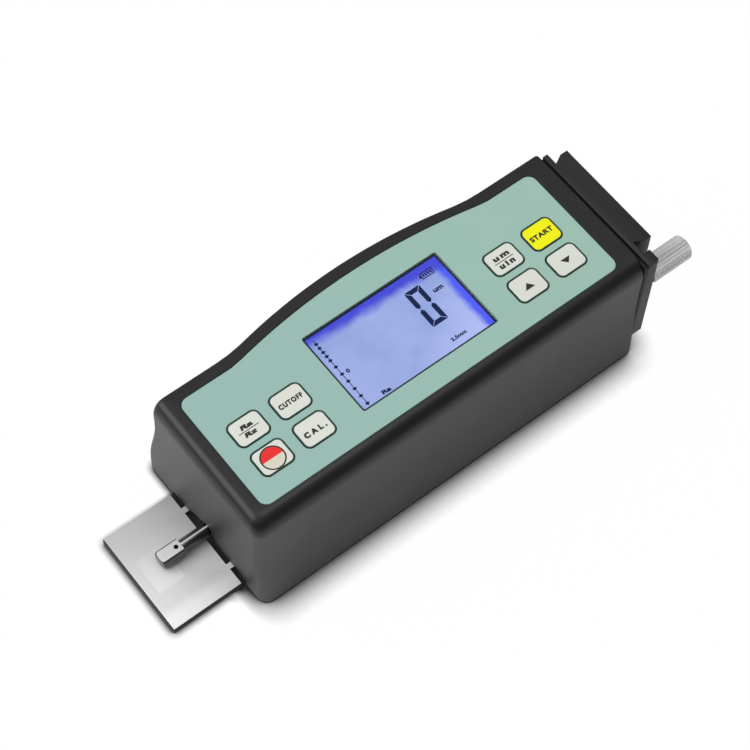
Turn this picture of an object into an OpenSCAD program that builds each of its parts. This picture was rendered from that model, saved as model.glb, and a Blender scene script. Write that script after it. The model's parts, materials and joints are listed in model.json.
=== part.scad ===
// Handheld surface roughness tester: a small drive unit draws a stylus pickup over a specimen plate,
// with a key panel and a display on top and a dovetail rail with a clamped leg at the rear.
// Millimetres, +Z up. Origin at the centre of the case's base, +X from the pickup to the rear rail.

/* [Case] */
// Length of the case, front wall to rear wall
case_l = 142; // [140:1:160]
// Width of the case across its flared base
base_w = 58; // [57:1:66]
// Height of the case, base to top of the cover
case_h = 48; // [47:1:56]
// Wall thickness of both shells
wall = 2.2; // [1.8:0.1:2.6]
// Thickness of the lower case's floor
floor_t = 1.6; // [1.2:0.1:1.9]
// How far the near wall stands in from the base at the seam
near_in = 1.6; // [1:0.1:3]
// How far the far wall stands in from the base at the seam
far_in = 5.5; // [4:0.1:6]
// Height at which the near wall starts to flare
near_flare_top = 30; // [24:1:36]
// Height at which the far wall starts to flare
far_flare_top = 38; // [30:1:40]
// Height at which the far wall's flare ends
far_flare_foot = 6; // [3:1:12]
// Rise of the grip bulge along the far side
bulge_rise = 5; // [3:0.1:6]
// Half the length of the grip bulge
bulge_half = 48.4; // [42:0.1:52]
// Radius of the hollow curve at each end of the bulge
bulge_fillet = 50; // [15:1:60]
// Place of the bulge's crown along the case
bulge_x = -0.2; // [-6:0.1:6]
// Plan radius of the near front corner
corner_r = 3.5; // [2.5:0.1:5]
// Plan radius of the far front corner
far_corner_r = 1.6; // [1:0.1:4]
// Plan radius of the rear corners
rear_corner_r = 0.8; // [0.8:0.1:2]
// Inset of the rounded bottom edge
base_edge_r = 0.8; // [0.4:0.1:1.2]

/* [Cover] */
// Height of the upper cover's side above the seam
cover_h = 6.2; // [5.6:0.1:7]
// Width of the rounding along the cover's near edge
near_round = 4.9; // [3:0.1:5.2]
// Width of the rounding along the cover's front edge
front_round = 3.4; // [2:0.1:4]
// Width of the rounding along the cover's far edge
far_round = 0.8; // [0.5:0.1:1.4]
// Depth of the locating lip that enters the lower case
lip_h = 1.5; // [1:0.1:2]
// Thickness of the locating lip
lip_t = 1.2; // [0.8:0.1:1.4]
// Gap between the lip and the lower case
lip_gap = 0.15; // [0.1:0.05:0.2]

/* [Panel] */
// Thickness of the overlay panel
panel_t = 0.5; // [0.3:0.1:0.6]
// Step from the cover's top down to the panel's face
panel_step = 0.1; // [0.05:0.05:0.2]
// Cover left bare in front of the panel
panel_front = 6.15; // [5.5:0.05:8]
// Cover left bare behind the panel
panel_rear = 5.85; // [5:0.05:8]
// Flat of the cover between its near edge and the panel
panel_near = 0.2; // [0.2:0.1:1]
// Cover between its far side and the panel
panel_far = 4.4; // [4:0.1:5.5]
// Place of the crown of the panel's far edge along the case
panel_bulge_x = 1.3; // [-4:0.1:4]
// Half the length of the bulge of the panel's far edge
panel_bulge_half = 47.3; // [42:0.1:48]
// Radius of the hollow curve at each end of the panel's bulge
panel_fillet = 12; // [6:1:40]
// Corner radius of the panel
panel_r = 3; // [2:0.1:4]
// Gap around the panel in its recess
panel_gap = 0.1; // [0.05:0.05:0.2]

/* [Display] */
// Length of the display opening in the panel
screen_l = 48.9; // [44:0.1:54]
// Width of the display opening in the panel
screen_w = 29.3; // [26:0.1:31]
// Centre of the display from the panel's near edge
screen_from_near = 22.05; // [20.5:0.05:22.5]
// Ledge of the cover that carries the window
screen_ledge = 0.5; // [0.4:0.1:0.8]
// Thickness of the display cell
cell_t = 2.2; // [1.8:0.1:2.6]
// Thickness of the backlight
backlight_t = 3; // [2.4:0.1:3.2]
// How far the backlight reaches past the display opening
backlight_rim = 1; // [0.6:0.1:1.4]
// Wall of the display frame
frame_wall = 1.2; // [1:0.1:1.6]

/* [Keys] */
// Length of a key cap
key_l = 10.7; // [9:0.1:11]
// Width of a key cap
key_w = 8.7; // [7:0.1:9]
// Corner radius of a key cap
key_r = 2; // [1.2:0.1:2.6]
// Gap around a key cap
key_gap = 0.25; // [0.2:0.05:0.35]
// How far a key cap stands above the panel
key_proud = 0.15; // [0.1:0.05:0.8]
// Travel of a key
key_travel = 0.4; // [0.3:0.05:0.5]
// Rim that holds a key under the cover
key_rim = 0.8; // [0.6:0.1:0.9]
// Thickness of the rim
key_rim_t = 0.8; // [0.6:0.1:1]
// Distance of the inner key columns from the panel's middle
key_col_in = 39.1; // [36:0.1:40]
// Distance of the outer key columns from the panel's middle
key_col_out = 53.7; // [52:0.1:54]
// Centre of the near key row from the panel's near edge
key_from_near = 11.3; // [10.8:0.1:12]
// Distance between the key rows
key_row_pitch = 11.25; // [11:0.05:12.5]

/* [Board] */
// Length of the main board
board_l = 118; // [116:1:120]
// Thickness of the main board
board_t = 1.6; // [1.2:0.1:2]
// Side of a key switch
switch_a = 6; // [5:0.1:7]
// Height of a key switch
switch_h = 3.3; // [2.5:0.1:4]
// Radius of the bosses that carry the board
board_boss_r = 2.4; // [2:0.1:2.6]

/* [Pickup] */
// Place of the pickup's axis across the case
pickup_y = -0.6; // [-2:0.1:2]
// How far the pickup stands out of the front wall
pickup_reach = 17; // [15:0.5:22]
// Radius of the pickup tube
tube_r = 2.1; // [1.9:0.05:2.3]
// Bore radius of the pickup tube
tube_bore_r = 1.5; // [1.4:0.05:1.6]
// Radius of the skid nose
nose_r = 2.9; // [2.6:0.05:3.1]
// Length of the skid nose
nose_l = 7.7; // [7:0.1:9]
// Radius of the opening around the pickup in the front wall
arch_r = 3.4; // [3.3:0.1:4]
// Half width of the low arch at the front wall's foot
foot_arch_half = 6.3; // [5.5:0.1:8]
// Height of the low arch
foot_arch_h = 6.75; // [5:0.05:7.5]
// Place of the low arch across the case
foot_arch_y = 2.6; // [1:0.1:3]

/* [Specimen plate] */
// Width of the plate
plate_w = 36; // [30:0.5:40]
// Thickness of the plate
plate_t = 2.5; // [2.4:0.1:3]
// How far the plate stands out of the front wall
plate_reach = 25.7; // [22:0.1:34]
// How far the plate's tabs go into the mouth at the case's foot
plate_tuck = 3; // [2:0.1:4]
// Gap between the plate's rear edge and the front wall
plate_stand = 1.3; // [0.8:0.1:2]
// Width of a tab of the plate
plate_tab_w = 2; // [1.5:0.1:4]
// Distance of a tab of the plate from its middle
plate_tab_from_mid = 11.4; // [9:0.1:13]
// Place of the plate's middle across the case
plate_y = -1.6; // [-3:0.1:1]
// Gap around the plate in the mouth
plate_gap = 0.4; // [0.3:0.05:0.6]

/* [Drive] */
// Stroke of the carriage
stroke = 12.5; // [8:0.5:16]
// Length of the carriage
carriage_l = 12; // [11:0.5:14]
// Width of the carriage
carriage_w = 23; // [22:0.5:24]
// Height of the lead screw above the pickup's axis
screw_rise = 8.6; // [8.2:0.1:10]
// Distance of each guide rod from the lead screw
rod_offset = 9; // [8.5:0.1:9.5]
// Radius of the guide rods and the lead screw
rod_r = 1.5; // [1.2:0.1:1.6]
// Running clearance of the rods, the screw and the shafts
run_gap = 0.05; // [0.03:0.01:0.08]
// Thickness of the drive frame's walls
bulkhead_t = 3; // [2.5:0.1:3.5]
// Width of the drive frame
drive_w = 26; // [25:0.5:27]
// Teeth of the gear on the lead screw
gear_teeth = 36; // [30:2:40]
// Teeth of the motor's pinion
pinion_teeth = 12; // [10:2:14]
// Module of the gear pair
gear_module = 0.4; // [0.38:0.01:0.42]
// Face width of the gear pair
gear_t = 3; // [2:0.1:4]
// Radius of the drive motor
motor_r = 6; // [5:0.1:6.2]
// Length of the drive motor
motor_l = 22.5; // [18:0.5:26]
// Height of the pads that carry the drive frame
pad_h = 3; // [2.6:0.1:3.2]

/* [Battery] */
// Length of the battery pack
battery_l = 36; // [30:1:37]
// Width of the battery pack
battery_w = 32; // [26:1:33]
// Height of the battery pack
battery_h = 16; // [12:1:20]
// Distance of the battery's middle from the rear wall
battery_from_rear = 31; // [30:0.5:33]

/* [Rear rail] */
// Thickness of the end plate
end_t = 2.7; // [2:0.1:3.5]
// Height of the rail's lower end above the base
rail_z0 = 8.3; // [6:0.1:10]
// Gap between the wing and the leg's near arm
wing_clear = 0.45; // [0.35:0.05:0.8]
// Undercut of the dovetail at each edge
rail_undercut = 1.7; // [1.2:0.1:2]
// Depth of the dovetail's slope
rail_slope = 3.1; // [2.5:0.1:3.5]
// Thickness of the dovetail's square edge
rail_edge = 2.6; // [2:0.1:3.2]
// How far the end plate reaches past the dovetail on the far side
end_past = 2.5; // [2:0.1:3]
// Width of the groove between the cover and the end plate
groove_w = 0.9; // [0.5:0.1:1.2]
// Depth of the groove between the cover and the end plate
groove_h = 1.2; // [0.8:0.1:2]
// Thickness of the wing along the case
wing_l = 4.9; // [4:0.1:6]
// Width of the wing
wing_w = 4.6; // [4:0.1:5]
// How far the wing stands out past the case's near wall
wing_proud = 0.3; // [0.2:0.1:1.2]

/* [Leg] */
// Gap between the leg slider and the rail
leg_gap = 0.35; // [0.3:0.05:0.45]
// Thickness of the leg slider's back
leg_t = 3.5; // [3:0.1:4.5]
// Thickness of the leg slider's arms
leg_arm = 2.4; // [2:0.1:2.5]
// Height of the leg slider
leg_h = 19.5; // [16:0.5:24]
// Thickness of the foot under the leg
foot_t = 2; // [1.5:0.1:3]
// Radius of the clamp knob
knob_r = 4.2; // [3.4:0.1:4.6]
// Length of the clamp knob's head
knob_l = 15.4; // [10:0.1:18]
// Ridges around the clamp knob
knob_ridges = 24; // [18:1:30]
// Distance of the clamp knob's axis from the dovetail's near edge
knob_inset = 1.9; // [1.9:0.1:4]
// Height of the clamp knob's axis
knob_z = 21; // [18:0.5:26]

/* [Hidden] */

$fn = 48;
arc_n = 6;
bulge_n = 22;
flare_n = 10;
inner_n = 6;
edge_n = 7;
// Small play between pieces that are fixed to each other
fit = 0.02;
// Overlap that makes a cut or a joined feature run cleanly through a face
over = 0.5;

x_front = -case_l / 2;
x_rear = case_l / 2;
z_seam = case_h - cover_h;
seam_land = 0.2;
round_h = cover_h - seam_land;
z_ceil = case_h - wall;

// Smooth step from 0 at the flare's top to 1 at its foot
function flare(z, top, foot) =
    let (t = min(1, max(0, (top - z) / (top - foot))))
    t * t * (3 - 2 * t);
function near_y(z) = -base_w / 2 + near_in * (1 - flare(z, near_flare_top, 0));
function far_y(z) = base_w / 2 - far_in * (1 - flare(z, far_flare_top, far_flare_foot));
function bulge_share(z) = 1 - flare(z, far_flare_top, far_flare_foot);

// A bulge is a long arc between two hollow curves that run out into the straight far side.
// It is given by its place, half length, rise and hollow radius.
cover_bulge = [bulge_x, bulge_half, bulge_rise, bulge_fillet];
panel_bulge = [panel_bulge_x, panel_bulge_half, bulge_rise, panel_fillet];
function far_rise(x, bulge) =
    let (half = bulge[1], rise = bulge[2], hollow = bulge[3], d = abs(x - bulge[0]),
        both_r = (half * half + rise * rise) / (2 * rise), crown_r = both_r - hollow)
    d <= half * crown_r / both_r ? sqrt(crown_r * crown_r - d * d) - (crown_r - rise)
    : d < half ? hollow - sqrt(hollow * hollow - pow(half - d, 2))
    : 0;

function arc_points(cx, cy, r, a0) =
    [for (i = [0:arc_n]) let (a = a0 + 90 * i / arc_n) [cx + r * cos(a), cy + r * sin(a)]];
// Plan outline, anticlockwise: straight near side, bulged far side, four round corners
function outline(x0, x1, y0, y1, share, bulge, r0, r1, r2) = concat(
    arc_points(x0 + r0, y0 + r0, r0, 180),
    arc_points(x1 - r1, y0 + r1, r1, 270),
    arc_points(x1 - r1, y1 - r1, r1, 0),
    [for (i = [0:bulge_n])
        let (x = bulge[0] + bulge[1] * (1 - 2 * i / bulge_n)) [x, y1 + share * far_rise(x, bulge)]],
    arc_points(x0 + r2, y1 - r2, r2, 90));
function inner_r(r, inset) = max(r - inset, base_edge_r);
function case_outline(z, inset) = outline(
    x_front + inset, x_rear - inset, near_y(z) + inset, far_y(z) - inset, bulge_share(z), cover_bulge,
    inner_r(corner_r, inset), inner_r(rear_corner_r, inset), inner_r(far_corner_r, inset));
function cover_outline(inset) = outline(
    x_front + front_round * inset, x_rear,
    near_y(z_seam) + near_round * inset, far_y(z_seam) - far_round * inset, 1, cover_bulge,
    corner_r, rear_corner_r, far_corner_r);
function panel_outline(grow) = outline(
    panel_x0 - grow, panel_x1 + grow, panel_y0 - grow, panel_y1 + grow, 1, panel_bulge,
    panel_r + grow, panel_r + grow, panel_r + grow);
function ring(z, points) = [for (p = points) [p[0], p[1], z]];
function ring_middle(r) = [for (p = r) 1] * r / len(r);

// Panel, display and key places
panel_x0 = x_front + panel_front;
panel_x1 = x_rear - panel_rear;
panel_y0 = near_y(z_seam) + near_round + panel_near;
panel_y1 = far_y(z_seam) - panel_far;
panel_cx = (panel_x0 + panel_x1) / 2;
z_recess = case_h - panel_step - panel_t;
z_panel = case_h - panel_step;
screen_y = panel_y0 + screen_from_near;
screen_r = 0.6;
cell_gap = 0.2;
z_cell = z_recess - cell_gap / 2;
z_backlight = z_cell - cell_t;
key_y0 = panel_y0 + key_from_near;
key_y1 = key_y0 + key_row_pitch;
key_places = [
    [-key_col_out, key_y1], [-key_col_in, key_y1], [-key_col_out, key_y0], [-key_col_in, key_y0],
    [key_col_in, key_y1], [key_col_out, key_y1], [key_col_in, key_y0], [key_col_out, key_y0]
];
rim_gap = 0.1;
z_rim = z_ceil - rim_gap;
stem_h = 0.5;
stem_r = 1.5;
z_stem = z_rim - key_rim_t - stem_h;
switch_gap = 0.05;
z_board = z_stem - key_travel - switch_gap - switch_h;

// Board bosses and screws
board_boss_out = 1.8;
board_boss_x = key_col_out + board_boss_out;
board_boss_near = 0.45;
board_boss_far = 3.7;
board_boss_y0 = key_y0 - key_w / 2 - key_rim - board_boss_r - board_boss_near;
board_boss_y1 = key_y1 + key_w / 2 + key_rim + board_boss_r + board_boss_far;
board_edge = 2.5;
board_hole_r = 1.1;
board_screw_r = 0.85;
board_screw_head_r = 1.8;
board_screw_head_h = 1.2;
board_screw_l = 4;
boss_hole_r = board_screw_r + run_gap;
chip_h = 1.4;
chip_a = 14;
chip_pitch = board_l / 4;

// Posts and screws that hold the two shells together
post_r = 3.4;
post_gap = 0.4;
cover_post_r = 2.8;
post_drop = 8;
z_post = z_seam - post_drop;
post_grip = 6;
post_screw_r = 1;
post_hole_r = 1.4;
post_head_r = 2.4;
post_head_h = 2;
post_head_gap = 0.3;
post_thread = 8;
post_x = x_rear - wall - post_r - post_gap;
post_y0 = near_y(z_seam) + wall + post_r + post_gap;
post_y1 = far_y(z_seam) - wall - post_r - post_gap;

// Pickup, from the plate's face upwards
nose_drop = 2.85;
skid_gap = 0.05;
pickup_z = plate_t + skid_gap + nose_drop;
nose_x0 = x_front - pickup_reach;
nose_x1 = nose_x0 + nose_l;
nose_flat_w = 5.6;
nose_flat_top = 2.2;
nose_edge_r = 0.8;
nose_bore_r = 1.2;
nose_wall = 1;
spigot_l = 2;
tip_back = 1.9;
tip_x = nose_x0 + tip_back;
tip_hole_r = 0.7;
tip_r = 0.35;
tip_point_r = 0.06;
tip_gap = 0.02;
pivot_back = 4.4;
pivot_x = nose_x1 + pivot_back;
pivot_r = 0.3;
pivot_l = 4;
arm_r = 0.35;
arm_tail = 4;
arm_block = 0.8;
hub_r = 0.75;
hub_l = 1.6;
coil_r = 0.9;
coil_l = 5;
coil_back = 2;
coil_x = pivot_x + coil_back;
nose_screw_r = 0.7;
nose_screw_in = 1.6;
nose_screw_x = nose_x1 - nose_screw_in;
nose_screw_h = 0.9;

// Front sill with the plate's mouth
sill_t = 6.5;
sill_roof = 1.5;
sill_h = plate_t + plate_gap + sill_roof;
sill_side = 2;
mouth_l = plate_tuck + plate_gap;
foot_arch_r = (foot_arch_half * foot_arch_half + foot_arch_h * foot_arch_h) / (2 * foot_arch_h);
plate_edge = 0.3;

// Drive unit, from the front sill to the rear
drive_gap = 1;
drive_x0 = x_front + sill_t + drive_gap;
drive_z = pickup_z + screw_rise;
carriage_gap = 2;
carriage_x0 = drive_x0 + bulkhead_t + carriage_gap;
carriage_half_h = 4.5;
overrun = 3;
bulkhead_x1 = carriage_x0 + carriage_l + stroke + overrun;
gear_gap = 1.5;
gear_x0 = bulkhead_x1 + bulkhead_t + gear_gap;
motor_x0 = gear_x0 + gear_t + gear_gap;
motor_wall_t = 2.5;
motor_x1 = motor_x0 + motor_wall_t;
gear_tooth_top = 0.85;
gear_tooth_root = 1.2;
gear_tip_r = gear_module * (gear_teeth / 2 + gear_tooth_top);
gear_centres = gear_module * (gear_teeth + pinion_teeth) / 2;
motor_y = pickup_y + gear_centres;
drive_top_t = 2;
drive_head = 6;
drive_top_z = drive_z + drive_head;
drive_foot_z = floor_t + pad_h;
tab_t = 2;
tab_l = 5;
tab_w = 4.5;
tab_xs = [drive_x0 + bulkhead_t + tab_l / 2, motor_x1 + tab_l / 2];
tab_y = drive_w / 2 - tab_w / 2;
pad_r = 2.4;
frame_screw_r = 0.9;
frame_screw_head_r = 1.7;
frame_screw_head_h = 1.1;
frame_screw_l = 2.2;
bush_r = 3;
nut_r = 3.5;
nut_l = 8;
nut_bore_gap = 0.1;
screw_clear = 0.7;
socket_r = 3.1;
socket_floor = 2;
socket_web_w = 4;
socket_web_l = 8;
arch_pass_r = 4;
shaft_r = 0.75;
shaft_in = 6;
motor_boss_r = 2;
motor_boss_l = 1.5;
motor_screw_r = 0.8;
motor_screw_head_r = 1.2;
motor_screw_head_h = 0.9;
motor_screw_at = 4.3;
motor_screw_in = 3;
limit_size = [4, 5, 3];
limit_y = 5;

// Battery and its tray
battery_x = x_rear - battery_from_rear;
tray_t = 1.2;
tray_gap = 0.3;
tray_h = battery_h * 0.6;

// Rear rail and leg
rail_y = pickup_y;
wing_y0 = near_y(z_seam) - wing_proud;
wing_y1 = wing_y0 + wing_w;
rail_half = rail_y - wing_y1 - wing_clear - leg_arm - leg_gap;
rail_neck = rail_half - rail_undercut;
end_far = rail_half + end_past;
end_x1 = x_rear + end_t;
rail_x1 = end_x1 + rail_slope + rail_edge;
rail_inner = end_x1 + rail_slope;
wing_edge = 0.6;
rail_screw_y = rail_half * 0.57;
rail_screw_low = 8;
rail_boss_r = 2.8;
rail_boss_l = 3;
rail_boss_gap = 0.4;
rail_screw_zs = [rail_z0 + rail_screw_low, z_seam - lip_h - rail_boss_r - rail_boss_gap];
rail_screw_sunk = 0.3;
rail_screw_r = 1.5;
rail_screw_head_r = 2.6;
rail_screw_head_h = 2.2;
leg_x0 = rail_x1 + leg_gap;
leg_x1 = leg_x0 + leg_t;
leg_arm_in = rail_half + leg_gap;
leg_arm_out = leg_arm_in + leg_arm;
leg_hook_gap = 0.5;
leg_hook_x = end_x1 + leg_hook_gap;
leg_hook_y = rail_neck + leg_gap + (leg_hook_x - end_x1) * (rail_half - rail_neck) / rail_slope;
leg_corner = 3.5;
foot_gap = 0.2;
leg_z0 = rail_z0 + foot_gap + foot_t;
foot_half = rail_half * 0.62;
knob_y = rail_y - rail_half + knob_inset;
clamp_r = 1.7;
clamp_gap = 0.05;
knob_gap = 0.7;
knob_x0 = leg_x1 + knob_gap;
knob_groove = 0.3;
knob_edge = 1;
collar_r = 2.5;
collar_gap = 0.3;

case_grey = [0.2, 0.2, 0.2];
panel_teal = [0.61, 0.75, 0.7];
key_white = [0.87, 0.87, 0.84];
key_yellow = [1, 0.95, 0.1];
steel_grey = [0.72, 0.73, 0.75];
dark_steel = [0.3, 0.3, 0.32];
alloy_grey = [0.8, 0.8, 0.82];
brass_tone = [0.8, 0.65, 0.3];
board_green = [0.1, 0.4, 0.2];
black_tone = [0.08, 0.08, 0.08];

// Closed skin through a list of rings that have equal numbers of points
module skin(rings) {
    n = len(rings[0]);
    m = len(rings);
    points = concat([for (r = rings) each r], [ring_middle(rings[0]), ring_middle(rings[m - 1])]);
    sides = [for (j = [0:m - 2]) for (i = [0:n - 1])
        let (a = j * n + i, b = j * n + (i + 1) % n)
        each [[a, a + n, b + n], [a, b + n, b]]];
    first_cap = [for (i = [0:n - 1]) [m * n, i, (i + 1) % n]];
    last_cap = [for (i = [0:n - 1]) [m * n + 1, (m - 1) * n + (i + 1) % n, (m - 1) * n + i]];
    polyhedron(points = points, faces = concat(first_cap, sides, last_cap));
}

module round_rect(l, w, r) {
    square([l - 2 * r, w], center = true);
    square([l, w - 2 * r], center = true);
    for (sx = [-1, 1], sy = [-1, 1])
        translate([sx * (l / 2 - r), sy * (w / 2 - r)]) circle(r);
}

module round_box(l, w, h, r) linear_extrude(h) round_rect(l, w, r);

// A cylinder along +X that starts at the point p
module rod_x(p, r, l) translate(p) rotate([0, 90, 0]) cylinder(r = r, h = l);

module box_at(p, size) translate(p) cube(size);

module at_posts() {
    for (sx = [-1, 1], y = [post_y0, post_y1]) translate([sx * post_x, y, 0]) children();
}

module at_board_bosses() {
    for (sx = [-1, 1], y = [board_boss_y0, board_boss_y1])
        translate([panel_cx + sx * board_boss_x, y, 0]) children();
}

module at_rail_screws() {
    for (sy = [-1, 1], z = rail_screw_zs) translate([0, rail_y + sy * rail_screw_y, z]) children();
}

module at_frame_tabs() {
    for (x = tab_xs, sy = [-1, 1]) translate([x, pickup_y + sy * tab_y, 0]) children();
}

function tub_rings() = concat(
    [ring(0, case_outline(0, base_edge_r))],
    [for (i = [0:flare_n])
        let (z = base_edge_r + (far_flare_top - base_edge_r) * i / flare_n) ring(z, case_outline(z, 0))],
    [ring(z_seam, case_outline(z_seam, 0)), ring(z_seam, case_outline(z_seam, wall))],
    [for (i = [0:inner_n])
        let (z = far_flare_top + (floor_t - far_flare_top) * i / inner_n) ring(z, case_outline(z, wall))]);

module lower_case() color(case_grey) {
    difference() {
        union() {
            skin(tub_rings());
            translate([0, 0, floor_t - over]) at_posts() cylinder(r = post_r, h = z_post - floor_t + over);
            translate([0, 0, floor_t - over]) at_frame_tabs() cylinder(r = pad_r, h = pad_h + over);
            at_rail_screws() rod_x([x_rear - wall - rail_boss_l, 0, 0], rail_boss_r, rail_boss_l + over);
            box_at([x_front + wall - over, plate_y - plate_w / 2 - sill_side, floor_t - over],
                [sill_t - wall + over, plate_w + 2 * sill_side, sill_h - floor_t + over]);
        }
        at_posts() {
            translate([0, 0, -over]) cylinder(r = post_head_r + post_head_gap, h = z_post - post_grip + over);
            cylinder(r = post_hole_r, h = z_post + over);
        }
        translate([0, 0, drive_foot_z - frame_screw_l - 0.2]) at_frame_tabs()
            cylinder(r = frame_screw_r + run_gap, h = frame_screw_l + over);
        at_rail_screws() rod_x([x_rear - wall - rail_boss_l - over, 0, 0],
            rail_screw_r + run_gap, wall + rail_boss_l + 2 * over);
        box_at([x_front - over, plate_y - plate_w / 2 - plate_gap, -over],
            [mouth_l + over, plate_w + 2 * plate_gap, plate_t + plate_gap + over]);
        rod_x([x_front - over, pickup_y, pickup_z], arch_r, sill_t + 2 * over);
        rod_x([x_front - over, foot_arch_y, foot_arch_h - foot_arch_r], foot_arch_r, sill_t + 2 * over);
    }
}

function cover_rings() = concat(
    [for (z = [z_ceil, z_seam - lip_h]) ring(z, case_outline(z_seam, wall + lip_gap + lip_t))],
    [for (z = [z_seam - lip_h, z_seam]) ring(z, case_outline(z_seam, wall + lip_gap))],
    [ring(z_seam, cover_outline(0))],
    [for (i = [0:edge_n])
        let (a = 90 * i / edge_n)
        ring(case_h - round_h * (1 - sin(a)), cover_outline(1 - cos(a)))]);

module upper_cover() color(case_grey) {
    difference() {
        union() {
            skin(cover_rings());
            translate([0, 0, z_post]) at_posts() cylinder(r = cover_post_r, h = z_ceil - z_post + over);
            translate([0, 0, z_board]) at_board_bosses()
                cylinder(r = board_boss_r, h = z_ceil - z_board + over);
        }
        translate([0, 0, z_recess]) linear_extrude(case_h) polygon(panel_outline(panel_gap));
        translate([panel_cx, screen_y, z_ceil - over])
            round_box(screen_l - 2 * screen_ledge, screen_w - 2 * screen_ledge, wall, screen_r);
        for (p = key_places) translate([panel_cx + p[0], p[1], z_ceil - over])
            round_box(key_l + 2 * key_gap, key_w + 2 * key_gap, wall, key_r + key_gap);
        translate([0, 0, z_post - over]) at_posts()
            cylinder(r = post_screw_r + run_gap, h = post_thread + 2 * over);
        translate([0, 0, z_board - over]) at_board_bosses()
            cylinder(r = boss_hole_r, h = board_screw_l + over);
    }
}

// Pan-head screw that points up, its head's underside at z = 0
module screw_up(r, l, head_r, head_h) {
    cylinder(r = r, h = l);
    translate([0, 0, -head_h]) cylinder(r = head_r, h = head_h);
}

module case_screws() color(dark_steel)
    translate([0, 0, z_post - post_grip]) at_posts()
        screw_up(post_screw_r, post_grip + post_thread, post_head_r, post_head_h);

module front_panel() color(panel_teal) {
    difference() {
        translate([0, 0, z_recess]) linear_extrude(panel_t) polygon(panel_outline(0));
        translate([panel_cx, screen_y, z_recess - over])
            round_box(screen_l, screen_w, panel_t + 2 * over, screen_r);
        for (p = key_places) translate([panel_cx + p[0], p[1], z_recess - over])
            round_box(key_l + 2 * key_gap, key_w + 2 * key_gap, panel_t + 2 * over, key_r + key_gap);
    }
}

// Key cap with a rim under the cover and a stem over its switch
module key_cap(i) translate([panel_cx + key_places[i][0], key_places[i][1], 0]) {
    translate([0, 0, z_rim - key_rim_t])
        round_box(key_l, key_w, z_panel + key_proud - z_rim + key_rim_t, key_r);
    translate([0, 0, z_rim - key_rim_t])
        round_box(key_l + 2 * key_rim, key_w + 2 * key_rim, key_rim_t, key_r + key_rim);
    translate([0, 0, z_stem]) cylinder(r = stem_r, h = stem_h + key_rim_t / 2);
}

module key_parameter() color(key_white) key_cap(0);
module key_cutoff() color(key_white) key_cap(1);
module key_power() color(key_white) key_cap(2);
module key_calibrate() color(key_white) key_cap(3);
module key_unit() color(key_white) key_cap(4);
module key_start() color(key_yellow) key_cap(5);
module key_up() color(key_white) key_cap(6);
module key_down() color(key_white) key_cap(7);

module lcd_window() color([0.7, 0.75, 0.9, 0.4])
    translate([panel_cx, screen_y, z_recess])
        round_box(screen_l - 2 * panel_gap, screen_w - 2 * panel_gap, panel_t, screen_r);

cell_l = screen_l - 2 * screen_ledge - 2 * cell_gap;
cell_w = screen_w - 2 * screen_ledge - 2 * cell_gap;
backlight_l = screen_l + 2 * backlight_rim;
backlight_w = screen_w + 2 * backlight_rim;

module lcd_cell() color([0.55, 0.6, 0.95])
    translate([panel_cx - cell_l / 2, screen_y - cell_w / 2, z_backlight]) cube([cell_l, cell_w, cell_t]);

module backlight() color([0.9, 0.92, 1])
    translate([panel_cx - backlight_l / 2, screen_y - backlight_w / 2, z_backlight - backlight_t])
        cube([backlight_l, backlight_w, backlight_t]);

// Open tray that carries the backlight and the cell on the board
module lcd_frame() color(black_tone) {
    gap = cell_gap;
    l = backlight_l + 2 * gap;
    w = backlight_w + 2 * gap;
    z0 = z_backlight - backlight_t;
    difference() {
        box_at([panel_cx - l / 2 - frame_wall, screen_y - w / 2 - frame_wall, z_board],
            [l + 2 * frame_wall, w + 2 * frame_wall, z_backlight - z_board]);
        box_at([panel_cx - l / 2, screen_y - w / 2, z0], [l, w, backlight_t + over]);
    }
}

module main_board() color(board_green) {
    y0 = board_boss_y0 - board_edge;
    y1 = board_boss_y1 + board_edge;
    difference() {
        box_at([panel_cx - board_l / 2, y0, z_board - board_t], [board_l, y1 - y0, board_t]);
        translate([0, 0, z_board - board_t - over]) at_board_bosses()
            cylinder(r = board_hole_r, h = board_t + 2 * over);
    }
}

module key_switches() color(black_tone)
    for (p = key_places) translate([panel_cx + p[0], p[1], z_board]) {
        translate([-switch_a / 2, -switch_a / 2, 0]) cube([switch_a, switch_a, switch_h * 0.7]);
        cylinder(r = stem_r, h = switch_h);
    }

module board_chips() color(black_tone)
    for (i = [-1:1])
        box_at([panel_cx + i * chip_pitch - chip_a / 2, screen_y - chip_a / 2, z_board - board_t - chip_h],
            [chip_a, chip_a, chip_h]);

module board_screws() color(steel_grey)
    translate([0, 0, z_board - board_t]) at_board_bosses()
        screw_up(board_screw_r, board_t + board_screw_l - over, board_screw_head_r, board_screw_head_h);

module battery_tray() color(black_tone) {
    l = battery_l + 2 * tray_gap;
    w = battery_w + 2 * tray_gap;
    difference() {
        box_at([battery_x - l / 2 - tray_t, pickup_y - w / 2 - tray_t, floor_t],
            [l + 2 * tray_t, w + 2 * tray_t, tray_h]);
        box_at([battery_x - l / 2, pickup_y - w / 2, floor_t + tray_t], [l, w, tray_h]);
    }
}

module battery_pack() color([0.25, 0.35, 0.6])
    translate([battery_x, pickup_y, floor_t + tray_t]) round_box(battery_l, battery_w, battery_h, 2);

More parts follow.
